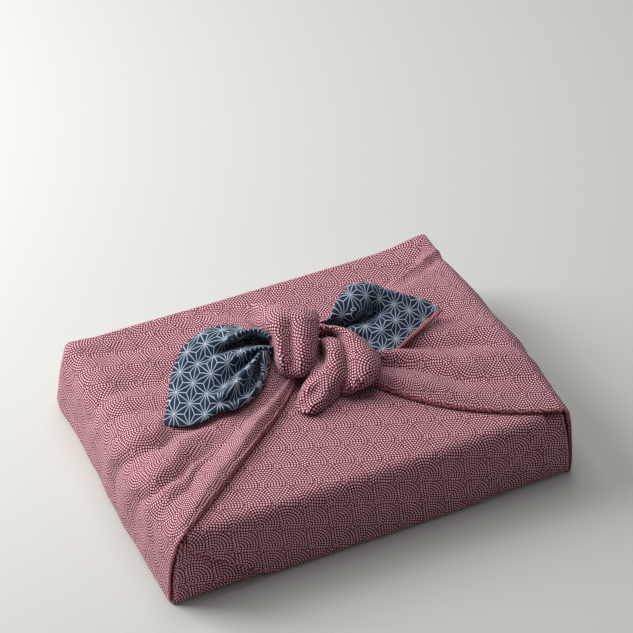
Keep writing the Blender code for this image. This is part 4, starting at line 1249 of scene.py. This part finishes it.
def build_stage():
    """The plain floor, the two lights, the sky and the camera."""
    colours = bpy.context.scene.furoshiki_colours
    scene = bpy.context.scene
    bpy.ops.mesh.primitive_plane_add(size=8, location=(0, 0, -0.0002))
    floor = bpy.context.object
    floor.name = "floor"
    material, _, shader = new_material("plain floor")
    shader.inputs["Base Color"].default_value = (*colours.floor, 1)
    shader.inputs["Roughness"].default_value = 0.9
    shader.inputs["Specular IOR Level"].default_value = 0.15
    floor.data.materials.append(material)

    world = bpy.data.worlds.new("studio")
    world.use_nodes = True
    world.node_tree.nodes["Background"].inputs["Color"].default_value = SKY
    world.node_tree.nodes["Background"].inputs["Strength"].default_value = SKY_STRENGTH
    scene.world = world
    for name, place, aim, size, power in LIGHTS:
        light = bpy.data.lights.new(name, "AREA")
        light.size = size
        light.energy = power
        obj = bpy.data.objects.new(name, light)
        obj.location = place
        obj.visible_camera = False
        obj.rotation_euler = aimed(place, aim)
        scene.collection.objects.link(obj)

    lens = bpy.data.cameras.new("camera")
    lens.sensor_width = SENSOR
    lens.lens = FOCAL / RENDER_SIDE * SENSOR
    lens.shift_x, lens.shift_y = (pixels / RENDER_SIDE for pixels in SHIFT)
    camera = bpy.data.objects.new("camera", lens)
    camera.location = CAMERA_AT
    camera.rotation_euler = aimed(CAMERA_AT, CAMERA_AIM)
    scene.collection.objects.link(camera)
    scene.camera = camera
    scene.view_settings.view_transform = "Standard"


# ---------------------------------------------------------------- operators, panel and register


def settle(piece, replaces=None):
    """Every sheet is fixed to the one body, and the frame's part that it replaces, if any, is hidden."""
    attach(piece, BODY)
    if replaces:
        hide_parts(replaces)


class FUROSHIKI_OT_band(bpy.types.Operator):
    """Make the layers that run round the box from front to back"""

    bl_idname = "furoshiki.band"
    bl_label = "Band"

    def execute(self, context):
        piece = build_band()
        settle(piece, "cloth")
        return {"FINISHED"}


class FUROSHIKI_OT_flaps(bpy.types.Operator):
    """Make the flaps drawn up each side and across the top to the knot"""

    bl_idname = "furoshiki.flaps"
    bl_label = "Side flaps"

    def execute(self, context):
        left, right = build_flaps()
        for piece in (left, right):
            settle(piece)
        return {"FINISHED"}


class FUROSHIKI_OT_knot(bpy.types.Operator):
    """Make the square knot's lobes"""

    bl_idname = "furoshiki.knot"
    bl_label = "Knot"

    def execute(self, context):
        for piece, (*flat, area) in zip(build_knot(), LOBE_CUTS):
            settle(piece)
        return {"FINISHED"}


class FUROSHIKI_OT_ears(bpy.types.Operator):
    """Make the two free corners past the knot, which show the navy side"""

    bl_idname = "furoshiki.ears"
    bl_label = "Ears"

    def execute(self, context):
        for piece, (*flat, area) in zip(build_ears(), EAR_CUTS):
            settle(piece)
        return {"FINISHED"}


class FUROSHIKI_OT_box(bpy.types.Operator):
    """Give the box inside its paperboard finish"""

    bl_idname = "furoshiki.box"
    bl_label = "Box"

    def execute(self, context):
        board = paperboard("pressed board", tuple(context.scene.furoshiki_colours.board))
        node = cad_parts["box"]
        node.data.materials.clear()
        node.data.materials.append(board)
        return {"FINISHED"}


class FUROSHIKI_OT_stage(bpy.types.Operator):
    """Set the floor, the studio light and the camera"""

    bl_idname = "furoshiki.stage"
    bl_label = "Stage"

    def execute(self, context):
        build_stage()
        return {"FINISHED"}


class FUROSHIKI_PT_panel(bpy.types.Panel):
    bl_idname = "FUROSHIKI_PT_panel"
    bl_label = "Furoshiki"
    bl_space_type = "VIEW_3D"
    bl_region_type = "UI"
    bl_category = "Furoshiki"

    def draw(self, context):
        column = self.layout.column()
        for settings in (context.scene.furoshiki_sizes, context.scene.furoshiki_colours):
            for key in settings.__annotations__:
                column.prop(settings, key)
        for step in STEPS:
            column.operator(step.bl_idname)


STEPS = (
    FUROSHIKI_OT_stage,
    FUROSHIKI_OT_box,
    FUROSHIKI_OT_band,
    FUROSHIKI_OT_flaps,
    FUROSHIKI_OT_knot,
    FUROSHIKI_OT_ears,
)
CLASSES = (Sizes, Colours, *STEPS, FUROSHIKI_PT_panel)


def register():
    for cls in CLASSES:
        bpy.utils.register_class(cls)
    bpy.types.Scene.furoshiki_sizes = bpy.props.PointerProperty(type=Sizes)
    bpy.types.Scene.furoshiki_colours = bpy.props.PointerProperty(type=Colours)


def unregister():
    del bpy.types.Scene.furoshiki_colours
    del bpy.types.Scene.furoshiki_sizes
    for cls in reversed(CLASSES):
        bpy.utils.unregister_class(cls)


def main():
    register()
    bpy.ops.furoshiki.stage()
    bpy.ops.furoshiki.box()
    bpy.ops.furoshiki.band()
    bpy.ops.furoshiki.flaps()
    bpy.ops.furoshiki.knot()
    bpy.ops.furoshiki.ears()


if __name__ == "__main__":
    main()
